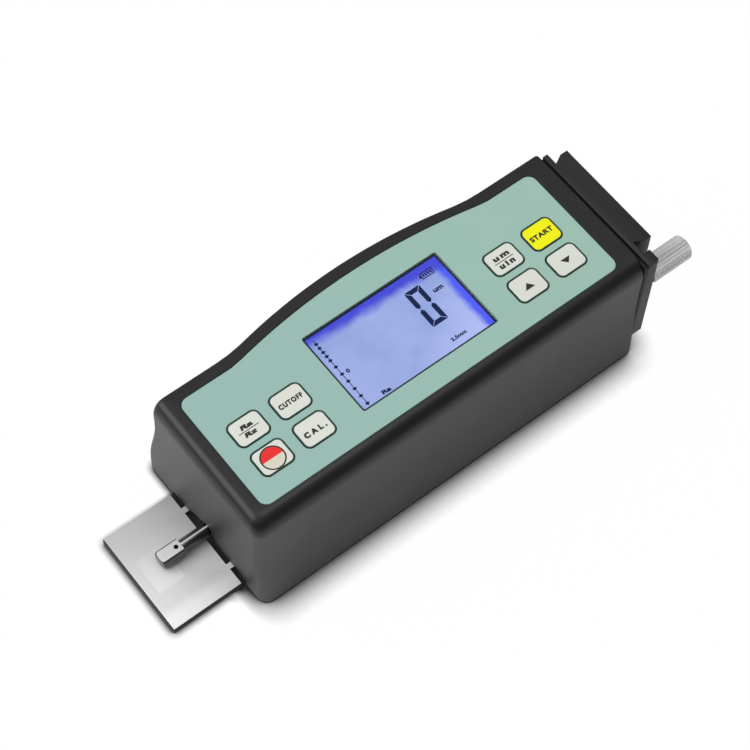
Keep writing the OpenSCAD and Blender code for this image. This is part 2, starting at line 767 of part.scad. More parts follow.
// Inverted channel: a top plate with a window over the gear, three bulkheads, four tabs on the pads
module drive_frame() color(alloy_grey) {
    z_bulk = drive_top_z - drive_foot_z;
    difference() {
        union() {
            box_at([drive_x0, pickup_y - drive_w / 2, drive_top_z],
                [motor_x1 - drive_x0, drive_w, drive_top_t]);
            for (x = [drive_x0, bulkhead_x1])
                box_at([x, pickup_y - drive_w / 2, drive_foot_z], [bulkhead_t, drive_w, z_bulk + drive_top_t]);
            box_at([motor_x0, pickup_y - drive_w / 2, drive_foot_z],
                [motor_wall_t, drive_w / 2 + gear_centres + motor_r, z_bulk + drive_top_t]);
            at_frame_tabs() box_at([-tab_l / 2 - over, -tab_w / 2, drive_foot_z], [tab_l + over, tab_w, tab_t]);
        }
        rod_x([drive_x0 - over, pickup_y, pickup_z], arch_pass_r, bulkhead_t + 2 * over);
        box_at([drive_x0 - over, pickup_y - arch_pass_r, drive_foot_z - over],
            [bulkhead_t + 2 * over, 2 * arch_pass_r, pickup_z - drive_foot_z + over]);
        for (x = [drive_x0, bulkhead_x1]) {
            rod_x([x - over, pickup_y, drive_z], bush_r + fit, bulkhead_t + 2 * over);
            for (sy = [-1, 1]) rod_x([x - over, pickup_y + sy * rod_offset, drive_z],
                rod_r + fit, bulkhead_t + 2 * over);
        }
        box_at([gear_x0 - gear_gap / 2, pickup_y - gear_tip_r, drive_top_z - over],
            [gear_t + gear_gap, 2 * gear_tip_r, drive_top_t + 2 * over]);
        rod_x([motor_x0 - over, motor_y, drive_z], motor_boss_r + fit, motor_wall_t + 2 * over);
        for (s = [-1, 1]) rod_x([motor_x0 - over, motor_y, drive_z + s * motor_screw_at],
            motor_screw_r + run_gap, motor_wall_t + 2 * over);
        translate([0, 0, drive_foot_z - over]) at_frame_tabs()
            cylinder(r = frame_screw_r + run_gap, h = tab_t + 2 * over);
    }
}

module frame_screws() color(steel_grey)
    translate([0, 0, drive_foot_z + tab_t]) at_frame_tabs() mirror([0, 0, 1])
        screw_up(frame_screw_r, tab_t + frame_screw_l, frame_screw_head_r, frame_screw_head_h);

rod_l = bulkhead_x1 + bulkhead_t - drive_x0;
module guide_rod(sy) rod_x([drive_x0, pickup_y + sy * rod_offset, drive_z], rod_r, rod_l);
module guide_rod_near() color(steel_grey) guide_rod(-1);
module guide_rod_far() color(steel_grey) guide_rod(1);

module bush(x) difference() {
    rod_x([x, pickup_y, drive_z], bush_r, bulkhead_t);
    rod_x([x - over, pickup_y, drive_z], rod_r + run_gap, bulkhead_t + 2 * over);
}
module front_bush() color(brass_tone) bush(drive_x0);
module rear_bush() color(brass_tone) bush(bulkhead_x1);

module lead_screw() color(steel_grey)
    rod_x([drive_x0, pickup_y, drive_z], rod_r, gear_x0 + gear_t + over - drive_x0);

// Spur gear profile with straight flanks, one tooth centred on +X
module gear_profile(teeth, mod) {
    pitch = 360 / teeth;
    root_r = mod * (teeth / 2 - gear_tooth_root);
    top_r = mod * (teeth / 2 + gear_tooth_top);
    polygon([for (i = [0:teeth - 1])
        each [for (c = [[root_r, -0.3], [top_r, -0.09], [top_r, 0.09], [root_r, 0.3]])
            let (a = (i + c[1]) * pitch) [c[0] * cos(a), c[0] * sin(a)]]]);
}

// A gear along X whose marked tooth, or gap, points to the far side
module gear_x(p, teeth, turn, bore) translate(p) rotate([90, 0, 90])
    linear_extrude(gear_t) difference() {
        rotate(turn) gear_profile(teeth, gear_module);
        circle(bore);
    }

module screw_gear() color(brass_tone)
    gear_x([gear_x0, pickup_y, drive_z], gear_teeth, 0, rod_r + fit);

module motor_pinion() color(brass_tone)
    gear_x([gear_x0, motor_y, drive_z], pinion_teeth, 180 + 180 / pinion_teeth, shaft_r + fit);

module motor_shaft() color(steel_grey)
    rod_x([gear_x0 - over, motor_y, drive_z], shaft_r, motor_x1 + shaft_in - gear_x0 + over);

module drive_motor() color(steel_grey) {
    difference() {
        union() {
            rod_x([motor_x1, motor_y, drive_z], motor_r, motor_l);
            rod_x([motor_x1 - motor_boss_l, motor_y, drive_z], motor_boss_r, motor_boss_l + over);
        }
        rod_x([motor_x1 - motor_boss_l - over, motor_y, drive_z], shaft_r + run_gap,
            motor_boss_l + shaft_in + 2 * over);
        for (s = [-1, 1]) rod_x([motor_x1 - over, motor_y, drive_z + s * motor_screw_at],
            motor_screw_r + run_gap, motor_screw_in + 2 * over);
    }
}

module motor_screws() color(dark_steel)
    for (s = [-1, 1]) translate([motor_x0, motor_y, drive_z + s * motor_screw_at]) rotate([0, 90, 0])
        screw_up(motor_screw_r, motor_wall_t + motor_screw_in, motor_screw_head_r, motor_screw_head_h);

// Small switches under the frame's top plate, above each end of the carriage's stroke
module limit_switches() color(black_tone)
    for (x = [drive_x0 + bulkhead_t, bulkhead_x1 - limit_size[0]])
        box_at([x, pickup_y + limit_y, drive_top_z - limit_size[2]], limit_size);

module carriage() color(alloy_grey) {
    difference() {
        box_at([carriage_x0, pickup_y - carriage_w / 2, drive_z - carriage_half_h],
            [carriage_l, carriage_w, 2 * carriage_half_h]);
        for (sy = [-1, 1]) rod_x([carriage_x0 - over, pickup_y + sy * rod_offset, drive_z],
            rod_r + run_gap, carriage_l + 2 * over);
        rod_x([carriage_x0 - over, pickup_y, drive_z], nut_r + fit, nut_l + over);
        rod_x([carriage_x0, pickup_y, drive_z], rod_r + screw_clear, carriage_l + over);
        box_at([carriage_x0 - over, pickup_y + limit_y - over, drive_top_z - limit_size[2] - over],
            [carriage_l + 2 * over, limit_size[1] + 2 * over, limit_size[2]]);
    }
}

module lead_nut() color(brass_tone) difference() {
    rod_x([carriage_x0, pickup_y, drive_z], nut_r, nut_l);
    rod_x([carriage_x0 - over, pickup_y, drive_z], rod_r + nut_bore_gap, nut_l + 2 * over);
}

module pickup_socket() color(dark_steel) {
    web_z1 = drive_z - carriage_half_h;
    difference() {
        union() {
            rod_x([carriage_x0 - 1, pickup_y, pickup_z], socket_r, carriage_l + 1);
            box_at([carriage_x0 + carriage_l / 2 - socket_web_l / 2, pickup_y - socket_web_w / 2, pickup_z],
                [socket_web_l, socket_web_w, web_z1 - pickup_z]);
        }
        rod_x([carriage_x0 - 1 - over, pickup_y, pickup_z], tube_r + fit, carriage_l + 1 + over - socket_floor);
    }
}

module pickup_tube() color(dark_steel) {
    l = carriage_x0 + carriage_l - socket_floor - nose_x1;
    difference() {
        rod_x([nose_x1, pickup_y, pickup_z], tube_r, l);
        rod_x([nose_x1 - over, pickup_y, pickup_z], tube_bore_r, l + 2 * over);
        translate([pivot_x, pickup_y, pickup_z]) rotate([90, 0, 0])
            cylinder(r = pivot_r + fit, h = 3 * tube_r, center = true);
    }
}

// Nose with a rounded front edge, a flat top and a flat skid, spigoted into the tube
module skid_nose() color(dark_steel) {
    r = nose_edge_r;
    difference() {
        union() {
            intersection() {
                translate([nose_x0, pickup_y, pickup_z]) rotate([0, 90, 0]) rotate_extrude() {
                    translate([0, r]) square([nose_r, nose_l - r]);
                    square([nose_r - r, nose_l]);
                    translate([nose_r - r, r]) circle(r);
                }
                box_at([nose_x0 - over, pickup_y - nose_flat_w / 2, pickup_z - nose_drop],
                    [nose_l + 2 * over, nose_flat_w, nose_drop + nose_flat_top]);
            }
            rod_x([nose_x1 - over, pickup_y, pickup_z], tube_bore_r - fit, spigot_l + over);
        }
        rod_x([nose_x0 + nose_wall, pickup_y, pickup_z], nose_bore_r, nose_l + spigot_l);
        translate([tip_x, pickup_y, pickup_z - nose_drop - over]) cylinder(r = tip_hole_r, h = nose_drop + over);
        translate([nose_screw_x, pickup_y, pickup_z + nose_flat_top - nose_screw_h])
            cylinder(r = nose_screw_r + fit, h = nose_screw_h + over);
    }
}

module nose_screw() color(black_tone)
    translate([nose_screw_x, pickup_y, pickup_z + nose_flat_top - nose_screw_h])
        cylinder(r = nose_screw_r, h = nose_screw_h - 0.2);

module sensing_coil() color(brass_tone) difference() {
    rod_x([coil_x, pickup_y, pickup_z], tube_bore_r - fit, coil_l);
    rod_x([coil_x - over, pickup_y, pickup_z], coil_r, coil_l + 2 * over);
}

module pivot_pin() color(steel_grey)
    translate([pivot_x, pickup_y, pickup_z]) rotate([90, 0, 0]) cylinder(r = pivot_r, h = pivot_l, center = true);

module stylus_arm() color(steel_grey) {
    difference() {
        union() {
            rod_x([tip_x, pickup_y, pickup_z], arm_r, pivot_x + arm_tail - tip_x);
            translate([pivot_x, pickup_y, pickup_z]) rotate([90, 0, 0])
                cylinder(r = hub_r, h = hub_l, center = true);
            box_at([tip_x - arm_block / 2, pickup_y - arm_block / 2, pickup_z - arm_block / 2],
                [arm_block, arm_block, arm_block]);
        }
        translate([pivot_x, pickup_y, pickup_z]) rotate([90, 0, 0])
            cylinder(r = pivot_r + run_gap, h = hub_l + 2 * over, center = true);
    }
}

module stylus_tip() color(steel_grey)
    translate([tip_x, pickup_y, plate_t + tip_gap])
        cylinder(r1 = tip_point_r, r2 = tip_r, h = pickup_z - arm_block / 2 - plate_t - tip_gap);

module specimen_plate() color(steel_grey) {
    l = plate_reach - plate_stand;
    e = plate_edge;
    translate([x_front - plate_stand, plate_y + plate_w / 2, 0]) rotate([90, 0, 0])
        linear_extrude(plate_w)
            polygon([[0, 0], [0, plate_t], [e - l, plate_t], [-l, plate_t - e], [-l, 0]]);
    for (sy = [-1, 1])
        box_at([x_front - plate_stand - over, plate_y + sy * plate_tab_from_mid - plate_tab_w / 2, 0],
            [plate_stand + plate_tuck + over, plate_tab_w, plate_t]);
}

// End plate with the dovetail rail in one piece, and the wing along its near edge
module end_plate() color(case_grey) {
    difference() {
        union() {
            translate([0, rail_y, rail_z0]) linear_extrude(case_h - rail_z0) polygon([
                [x_rear, wing_y1 - rail_y - over], [end_x1, wing_y1 - rail_y - over], [end_x1, -rail_neck],
                [rail_inner, -rail_half], [rail_x1, -rail_half], [rail_x1, rail_half],
                [rail_inner, rail_half], [end_x1, rail_neck], [end_x1, end_far], [x_rear, end_far]]);
            translate([0, 0, rail_z0]) linear_extrude(case_h - rail_z0) polygon([
                [x_rear, wing_y0 + wing_edge], [x_rear + wing_edge, wing_y0],
                [x_rear + wing_l - wing_edge, wing_y0], [x_rear + wing_l, wing_y0 + wing_edge],
                [x_rear + wing_l, wing_y1], [x_rear, wing_y1]]);
        }
        box_at([x_rear - over, wing_y0 - over, case_h - groove_h],
            [groove_w + over, base_w, groove_h + over]);
        at_rail_screws() {
            rod_x([x_rear - over, 0, 0], rail_screw_r + run_gap, rail_x1 - x_rear + 2 * over);
            rod_x([rail_x1 - rail_screw_head_h - rail_screw_sunk, 0, 0], rail_screw_head_r + rail_screw_sunk,
                rail_screw_head_h + rail_screw_sunk + over);
        }
    }
}

module rail_screws() color(dark_steel)
    at_rail_screws() translate([rail_x1 - rail_screw_head_h - rail_screw_sunk, 0, 0]) rotate([0, -90, 0])
        screw_up(rail_screw_r, rail_x1 - x_rear - rail_screw_head_h + wall + rail_boss_l - 1,
            rail_screw_head_r, rail_screw_head_h);

// Slider that hooks round both edges of the dovetail from behind
module leg_slider() color(case_grey) {
    c = leg_corner;
    difference() {
        translate([0, rail_y, leg_z0]) linear_extrude(leg_h) polygon([
            [leg_hook_x, -leg_hook_y], [leg_hook_x, -leg_arm_out], [leg_x1 - c, -leg_arm_out],
            [leg_x1, c - leg_arm_out], [leg_x1, leg_arm_out - c], [leg_x1 - c, leg_arm_out],
            [leg_hook_x, leg_arm_out], [leg_hook_x, leg_hook_y], [rail_inner, leg_arm_in],
            [leg_x0, leg_arm_in], [leg_x0, -leg_arm_in], [rail_inner, -leg_arm_in]]);
        rod_x([leg_x0 - over, knob_y, knob_z], clamp_r + run_gap, leg_t + 2 * over);
    }
}

module leg_foot() color(black_tone)
    box_at([leg_x0, rail_y - foot_half, leg_z0 - foot_t], [leg_t, 2 * foot_half, foot_t]);

// Ridged head with chamfered ends, a collar and a clamp shank
module clamp_knob() color(alloy_grey) {
    e = knob_edge;
    intersection() {
        translate([knob_x0, knob_y, knob_z]) rotate([90, 0, 90]) linear_extrude(knob_l)
            polygon([for (i = [0:2 * knob_ridges - 1])
                let (a = 180 * i / knob_ridges, r = knob_r - knob_groove * (i % 2))
                [r * cos(a), r * sin(a)]]);
        translate([knob_x0, knob_y, knob_z]) rotate([0, 90, 0]) rotate_extrude()
            polygon([[0, 0], [knob_r - e / 2, 0], [knob_r + e / 2, e], [knob_r + e / 2, knob_l - e],
                [knob_r - e / 2, knob_l], [0, knob_l]]);
    }
    rod_x([leg_x1 + collar_gap, knob_y, knob_z], collar_r, knob_x0 - leg_x1 - collar_gap + e);
    rod_x([rail_x1 + clamp_gap, knob_y, knob_z], clamp_r, knob_x0 - rail_x1 - clamp_gap + e);
}

lower_case();
upper_cover();
case_screws();
front_panel();
key_parameter();
key_cutoff();
key_power();
key_calibrate();
key_unit();
key_start();
key_up();
key_down();
lcd_window();
lcd_cell();
backlight();
lcd_frame();
main_board();
key_switches();
board_chips();
board_screws();
battery_tray();
battery_pack();
drive_frame();
frame_screws();
guide_rod_near();
guide_rod_far();
front_bush();
rear_bush();
lead_screw();
screw_gear();
lead_nut();
carriage();
drive_motor();
motor_screws();
motor_shaft();
motor_pinion();
limit_switches();
pickup_socket();
pickup_tube();
skid_nose();
nose_screw();
sensing_coil();
pivot_pin();
stylus_arm();
stylus_tip();
specimen_plate();
end_plate();
rail_screws();
leg_slider();
leg_foot();
clamp_knob();
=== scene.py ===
"""Dressed scene of a handheld surface roughness tester.

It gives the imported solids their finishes, printed marks and lit display,
and sets the light and the camera.
"""

import json
import logging
import math
from collections.abc import Callable
from dataclasses import dataclass, field
from enum import Enum
from typing import ClassVar

import bmesh
import bpy
from mathutils import Matrix, Vector


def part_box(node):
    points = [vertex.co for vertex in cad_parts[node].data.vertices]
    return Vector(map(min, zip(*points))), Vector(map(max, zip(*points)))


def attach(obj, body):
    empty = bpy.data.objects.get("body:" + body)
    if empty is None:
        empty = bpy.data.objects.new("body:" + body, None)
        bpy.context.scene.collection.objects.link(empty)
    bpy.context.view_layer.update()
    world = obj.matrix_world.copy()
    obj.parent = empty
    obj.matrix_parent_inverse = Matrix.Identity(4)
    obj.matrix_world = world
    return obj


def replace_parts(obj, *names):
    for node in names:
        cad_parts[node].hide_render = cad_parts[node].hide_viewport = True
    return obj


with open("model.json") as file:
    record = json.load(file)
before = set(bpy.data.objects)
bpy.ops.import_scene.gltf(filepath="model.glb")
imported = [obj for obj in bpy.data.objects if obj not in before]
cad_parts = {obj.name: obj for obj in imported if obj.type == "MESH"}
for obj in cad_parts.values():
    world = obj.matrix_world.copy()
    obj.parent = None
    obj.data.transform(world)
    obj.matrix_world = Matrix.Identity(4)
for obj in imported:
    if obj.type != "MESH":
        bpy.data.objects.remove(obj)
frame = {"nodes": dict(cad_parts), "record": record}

LOG = logging.getLogger("roughness_tester")
MM = 0.001
JOIN = 0.002 * MM  # points closer than this are one
LEVEL = 0.01 * MM  # heights closer than this are one level
FLAT_ANGLE = 0.4  # degrees between the triangles of one flat face
FACING = 0.9  # least part of a normal along an axis that it faces
NOISE_SPAN = (0.3, 0.7)  # where most noise values lie
NOISE_MIDDLE = (0.35, 0.65)  # a tighter span, for more contrast
NOISE_WIDE = (0.2, 0.8)  # a wider span, for less contrast
Colour = tuple[float, float, float]
Socket = bpy.types.NodeSocket
Value = Socket | float | Colour


def srgb(red: int, green: int, blue: int) -> Colour:
    """Turns 0-255 display values into linear light.

    Args:
        red: Red display value.
        green: Green display value.
        blue: Blue display value.

    Returns:
        The linear colour.
    """
    parts = [c / 255 for c in (red, green, blue)]
    return tuple(c / 12.92 if c <= 0.04045 else ((c + 0.055) / 1.055) ** 2.4 for c in parts)


def spread(colour: Colour, share: float) -> tuple[Colour, Colour]:
    """Returns a colour made darker, and made paler, by a share."""
    return (tuple(c * (1 - share) for c in colour),
            tuple(min(1.0, c * (1 + share)) for c in colour))


class Axis(Enum):
    """Direction in which a ground or brushed finish runs."""

    X = (0.04, 1.0, 1.0)
    Y = (1.0, 0.04, 1.0)


class Graph:
    """Adds nodes to one node tree and feeds their sockets."""

    def __init__(self, tree: bpy.types.NodeTree) -> None:
        """Takes the tree that is built on."""
        self.tree = tree

    def add(self, kind: str, settings: dict[str, object] | None = None,
            **inputs: Value) -> bpy.types.Node:
        """Adds a node.

        Args:
            kind: Blender's type name of the node.
            settings: Properties of the node itself.
            **inputs: Values or sockets for its inputs, with underscores for spaces in names.

        Returns:
            The new node.
        """
        node = self.tree.nodes.new(kind)
        for key, value in (settings or {}).items():
            setattr(node, key, value)
        for key, value in inputs.items():
            self.feed(node, key.replace("_", " "), value)
        return node

    def feed(self, node: bpy.types.Node, socket: str | int, value: Value) -> None:
        """Links a socket into an input, or sets the input's constant.

        Args:
            node: Node that is fed.
            socket: Name or number of the input.
            value: Output socket, number, colour or vector.
        """
        target = node.inputs[socket]
        if isinstance(value, Socket):
            self.tree.links.new(value, target)
        elif target.type == "RGBA" and len(value) == 3:
            target.default_value = (*value, 1.0)
        else:
            target.default_value = value

    def math(self, operation: str, first: Value, second: Value = 0.0,
             third: Value = 0.0) -> Socket:
        """Adds a Math node.

        Args:
            operation: Blender's name of the operation.
            first: First operand.
            second: Second operand.
            third: Third operand, which few operations use.

        Returns:
            The node's result.
        """
        node = self.add("ShaderNodeMath", {"operation": operation})
        for index, value in enumerate((first, second, third)):
            self.feed(node, index, value)
        return node.outputs[0]

    def mix(self, factor: Value, low: Value, high: Value) -> Socket:
        """Mixes two colours.

        Args:
            factor: 0 for the first colour, 1 for the second.
            low: First colour.
            high: Second colour.

        Returns:
            The mixed colour.
        """
        node = self.add("ShaderNodeMix", {"data_type": "RGBA"})
        for index, value in ((0, factor), (6, low), (7, high)):
            self.feed(node, index, value)
        return node.outputs[2]

    def remap(self, value: Value, low: Value, high: Value, start: Value, end: Value,
              smooth: bool = False) -> Socket:
        """Maps a value from one range to another, clamped.

        Args:
            value: Value to map.
            low: Where the first range starts.
            high: Where the first range ends.
            start: Result at low.
            end: Result at high.
            smooth: True to ease the map at both ends.

        Returns:
            The mapped value.
        """
        kind = "SMOOTHSTEP" if smooth else "LINEAR"
        node = self.add("ShaderNodeMapRange", {"interpolation_type": kind})
        for index, item in enumerate((value, low, high, start, end)):
            self.feed(node, index, item)
        return node.outputs[0]

    def place(self) -> Socket:
        """Returns the object coordinates, which are metres in the part's frame."""
        return self.add("ShaderNodeTexCoord").outputs["Object"]

    def noise(self, vector: Value, scale: Value, detail: float = 2.0) -> Socket:
        """Returns a noise value at a place."""
        node = self.add("ShaderNodeTexNoise", Vector=vector, Scale=scale, Detail=detail)
        return node.outputs["Fac"]

    def group(self, tree: bpy.types.NodeTree, **inputs: Value) -> bpy.types.Node:
        """Adds a node group with its inputs set."""
        return self.add("ShaderNodeGroup", {"node_tree": tree}, **inputs)


class SurfaceGroups:
    """The shader groups that several finishes share."""

    FLOAT, VECTOR = "NodeSocketFloat", "NodeSocketVector"
    GRAIN_BUMP = 0.6
    GRAIN_CLOUD = 55.0
    HIGHLIGHT_SPAN = (0.75, 0.99)
    LINE_BUMP = 0.5
    LINE_CLOUD = 90.0
    BEVEL = {"samples": 4}

    @classmethod
    def _tree(cls, name: str, ins: dict[str, str],
              outs: dict[str, str]) -> tuple[Graph, bpy.types.Node, bpy.types.Node]:
        """Makes an empty group with its sockets.

        Args:
            name: Name of the group.
            ins: Input names and socket types.
            outs: Output names and socket types.

        Returns:
            The graph, its input node and its output node.
        """
        tree = bpy.data.node_groups.new(name, "ShaderNodeTree")
        for label, kind in ins.items():
            tree.interface.new_socket(name=label, in_out="INPUT", socket_type=kind)
        for label, kind in outs.items():
            tree.interface.new_socket(name=label, in_out="OUTPUT", socket_type=kind)
        graph = Graph(tree)
        return graph, graph.add("NodeGroupInput"), graph.add("NodeGroupOutput")

    @classmethod
    def moulded(cls) -> bpy.types.NodeTree:
        """Makes the grain of a moulded or printed skin, once.

        Returns:
            The group, which puts out a cloudy shade, a fine speck, an edge mask for a
            painted highlight and a bumped normal.
        """
        name = "moulded_skin"
        if name in bpy.data.node_groups:
            return bpy.data.node_groups[name]
        ins = {"Grain": cls.FLOAT, "Depth": cls.FLOAT, "Edge": cls.FLOAT}
        outs = {"Shade": cls.FLOAT, "Speck": cls.FLOAT, "Rim": cls.FLOAT,
                "Normal": cls.VECTOR}
        graph, source, result = cls._tree(name, ins, outs)
        place = graph.place()
        fine = graph.noise(place, source.outputs["Grain"], detail=3.0)
        cloud = graph.noise(place, cls.GRAIN_CLOUD, detail=4.0)
        soft = graph.add("ShaderNodeBevel", cls.BEVEL, Radius=source.outputs["Edge"])
        bump = graph.add("ShaderNodeBump", Strength=cls.GRAIN_BUMP, Height=fine,
                         Distance=source.outputs["Depth"], Normal=soft.outputs["Normal"])
        flat = graph.add("ShaderNodeNewGeometry").outputs["Normal"]
        along = graph.add("ShaderNodeVectorMath", {"operation": "DOT_PRODUCT"})
        graph.feed(along, 0, flat)
        graph.feed(along, 1, soft.outputs["Normal"])
        graph.feed(result, "Shade", cloud)
        graph.feed(result, "Speck", fine)
        # Painted highlight mask: rises where the bevelled normal turns away from the true one,
        # along edges.
        graph.feed(result, "Rim", graph.remap(along.outputs["Value"], *cls.HIGHLIGHT_SPAN, 1.0, 0.0))
        graph.feed(result, "Normal", bump.outputs["Normal"])
        return graph.tree

    @classmethod
    def ground(cls) -> bpy.types.NodeTree:
        """Makes the fine straight lines of a ground or brushed metal, once.

        Returns:
            The group, which puts out a line value, a cloudy shade and a bumped normal.
        """
        name = "ground_lines"
        if name in bpy.data.node_groups:
            return bpy.data.node_groups[name]
        ins = {"Stretch": cls.VECTOR, "Scale": cls.FLOAT, "Depth": cls.FLOAT,
               "Edge": cls.FLOAT}
        outs = {"Line": cls.FLOAT, "Shade": cls.FLOAT, "Normal": cls.VECTOR}
        graph, source, result = cls._tree(name, ins, outs)
        place = graph.place()
        drawn = graph.add("ShaderNodeVectorMath", {"operation": "MULTIPLY"})
        graph.feed(drawn, 0, place)
        graph.feed(drawn, 1, source.outputs["Stretch"])
        line = graph.noise(drawn.outputs["Vector"], source.outputs["Scale"], detail=4.0)
        soft = graph.add("ShaderNodeBevel", cls.BEVEL, Radius=source.outputs["Edge"])
        bump = graph.add("ShaderNodeBump", Strength=cls.LINE_BUMP, Height=line,
                         Distance=source.outputs["Depth"], Normal=soft.outputs["Normal"])
        graph.feed(result, "Line", line)
        graph.feed(result, "Shade", graph.noise(place, cls.LINE_CLOUD, detail=3.0))
        graph.feed(result, "Normal", bump.outputs["Normal"])
        return graph.tree


@dataclass(frozen=True)
class Finish:
    """Base of all finishes: a named material, made once and shared."""

    MADE: ClassVar[dict[str, bpy.types.Material]] = {}
    name: str

    def material(self) -> bpy.types.Material:
        """Makes the material, or returns the one made before.

        Returns:
            The material.
        """
        if self.name in self.MADE:
            return self.MADE[self.name]
        material = self.MADE[self.name] = bpy.data.materials.new(self.name)
        material.use_nodes = True
        graph = Graph(material.node_tree)
        graph.tree.nodes.clear()
        graph.add("ShaderNodeOutputMaterial", Surface=self.surface(graph))
        return material

    def surface(self, graph: Graph) -> Socket:
        """Builds the shader and returns its output."""
        raise NotImplementedError


@dataclass(frozen=True)
class Moulded(Finish):
    """Moulded plastic, film or rubber with a fine grain and edges paled as a painted highlight."""

    colour: Colour
    roughness: float = 0.5
    grain: float = 5200.0
    depth: float = 0.012 * MM
    mottle: float = 0.16
    edge: float = 0.25 * MM
    edge_highlight: float = 0.35
    edge_highlight_gain: float = 1.8
    edge_highlight_lift: float = 0.01
    rough_span: float = 0.05
    specular: float = 0.5
    tint: Colour | None = None
    tint_span: tuple[float, float] = (-70 * MM, 70 * MM)

    def surface(self, graph: Graph) -> Socket:
        """Builds the plastic: cloudy colour, grain in the normal and painted highlights on edges.

        Args:
            graph: Graph of the material.

        Returns:
            The shader's output.
        """
        skin = graph.group(SurfaceGroups.moulded(), Grain=self.grain, Depth=self.depth,
                           Edge=self.edge)
        cloud = graph.remap(skin.outputs["Shade"], *NOISE_SPAN, 0.0, 1.0)
        colour = graph.mix(cloud, *spread(self.colour, self.mottle))
        if self.tint:
            along = graph.add("ShaderNodeSeparateXYZ", Vector=graph.place()).outputs["X"]
            front = graph.remap(along, *self.tint_span, 1.0, 0.0, True)
            colour = graph.mix(front, colour, self.tint)
        # Painted highlight: edges are mixed towards this paler colour.
        pale = tuple(min(1.0, c * self.edge_highlight_gain + self.edge_highlight_lift) for c in self.colour)
        colour = graph.mix(graph.math("MULTIPLY", skin.outputs["Rim"], self.edge_highlight), colour, pale)
        rough = graph.remap(skin.outputs["Speck"], *NOISE_SPAN, self.roughness - self.rough_span,
                            self.roughness + self.rough_span)
        shader = graph.add("ShaderNodeBsdfPrincipled", Base_Color=colour, Roughness=rough,
                           Normal=skin.outputs["Normal"])
        graph.feed(shader, "Specular IOR Level", self.specular)
        return shader.outputs["BSDF"]


@dataclass(frozen=True)
class Film(Moulded):
    """Printed film: an even colour with a finer and shallower grain."""

    roughness: float = 0.55
    grain: float = 9000.0
    depth: float = 0.004 * MM
    mottle: float = 0.02
    edge_highlight: float = 0.1
    specular: float = 0.3


@dataclass(frozen=True)
class Metal(Finish):
    """Ground, turned or plated metal with fine lines along one axis."""

    colour: Colour
    roughness: float = 0.3
    axis: Axis = Axis.X
    scale: float = 2600.0
    depth: float = 0.004 * MM
    variation: float = 0.12
    line_share: float = 0.6
    cloud_share: float = 0.4
    rough_span: float = 0.06
    edge: float = 0.12 * MM
    metallic: float = 1.0

    def tone(self, graph: Graph, lines: bpy.types.Node) -> Socket:
        """Varies the metal's colour by its lines and by soft clouds.

        Args:
            graph: Graph of the material.
            lines: Node of the ground-line group.

        Returns:
            The colour.
        """
        cloud = graph.math("MULTIPLY", lines.outputs["Shade"], self.cloud_share)
        both = graph.math("MULTIPLY_ADD", lines.outputs["Line"], self.line_share, cloud)
        return graph.mix(graph.remap(both, *NOISE_MIDDLE, 0.0, 1.0),
                         *spread(self.colour, self.variation))

    def surface(self, graph: Graph) -> Socket:
        """Builds the metal from the ground-line group.

        Args:
            graph: Graph of the material.

        Returns:
            The shader's output.
        """
        lines = graph.group(SurfaceGroups.ground(), Stretch=self.axis.value, Scale=self.scale,
                            Depth=self.depth, Edge=self.edge)
        rough = graph.remap(lines.outputs["Line"], *NOISE_SPAN, self.roughness - self.rough_span,
                            self.roughness + self.rough_span)
        shader = graph.add("ShaderNodeBsdfPrincipled", Base_Color=self.tone(graph, lines),
                           Metallic=self.metallic, Roughness=rough,
                           Normal=lines.outputs["Normal"])
        return shader.outputs["BSDF"]


@dataclass(frozen=True)
class GroundPlate(Metal):
    """Specimen plate: ground steel with a finer, paler test patch under the stylus."""

    patch_x: tuple[float, float] = (-93.3 * MM, -84.0 * MM)
    patch_y: tuple[float, float] = (-7.9 * MM, 4.9 * MM)
    patch_blur: float = 0.35 * MM
    patch_gain: float = 0.12
    patch_share: float = 0.8
    # Painted shade across the far side, and painted light along the near edge.
    painted_shade_span: tuple[float, float] = (-12.0 * MM, 18.0 * MM)
    shade: float = 0.3
    painted_light_span: tuple[float, float] = (-17.0 * MM, -12.0 * MM)
    painted_light_gain: float = 0.25

    def tone(self, graph: Graph, lines: bpy.types.Node) -> Socket:
        """Lays the test patch, near-edge painted light and far-side painted shade over the steel.

        Args:
            graph: Graph of the material.
            lines: Node of the ground-line group.

        Returns:
            The colour.
        """
        base = super().tone(graph, lines)
        place = graph.add("ShaderNodeSeparateXYZ", Vector=graph.place())
        blur = self.patch_blur
        mask = 1.0
        for socket, (low, high) in (("X", self.patch_x), ("Y", self.patch_y)):
            value = place.outputs[socket]
            begun = graph.remap(value, low - blur, low + blur, 0.0, 1.0, True)
            mask = graph.math("MULTIPLY", begun, mask)
            ended = graph.remap(value, high - blur, high + blur, 1.0, 0.0, True)
            mask = graph.math("MULTIPLY", ended, mask)
        pale = tuple(min(1.0, c + self.patch_gain) for c in self.colour)
        tone = graph.mix(graph.math("MULTIPLY", mask, self.patch_share), base, pale)
        # Painted light: the near part of the plate is made paler.
        near_painted_light = tuple(min(1.0, c * (1 + self.painted_light_gain)) for c in self.colour)
        near = graph.remap(place.outputs["Y"], *self.painted_light_span, 1.0, 0.0, True)
        tone = graph.mix(near, tone, near_painted_light)
        # Painted shade: the far side of the plate is made darker.
        far_painted_shade = tuple(c * (1 - self.shade) for c in self.colour)
        far = graph.remap(place.outputs["Y"], *self.painted_shade_span, 0.0, 1.0, True)
        return graph.mix(far, tone, far_painted_shade)


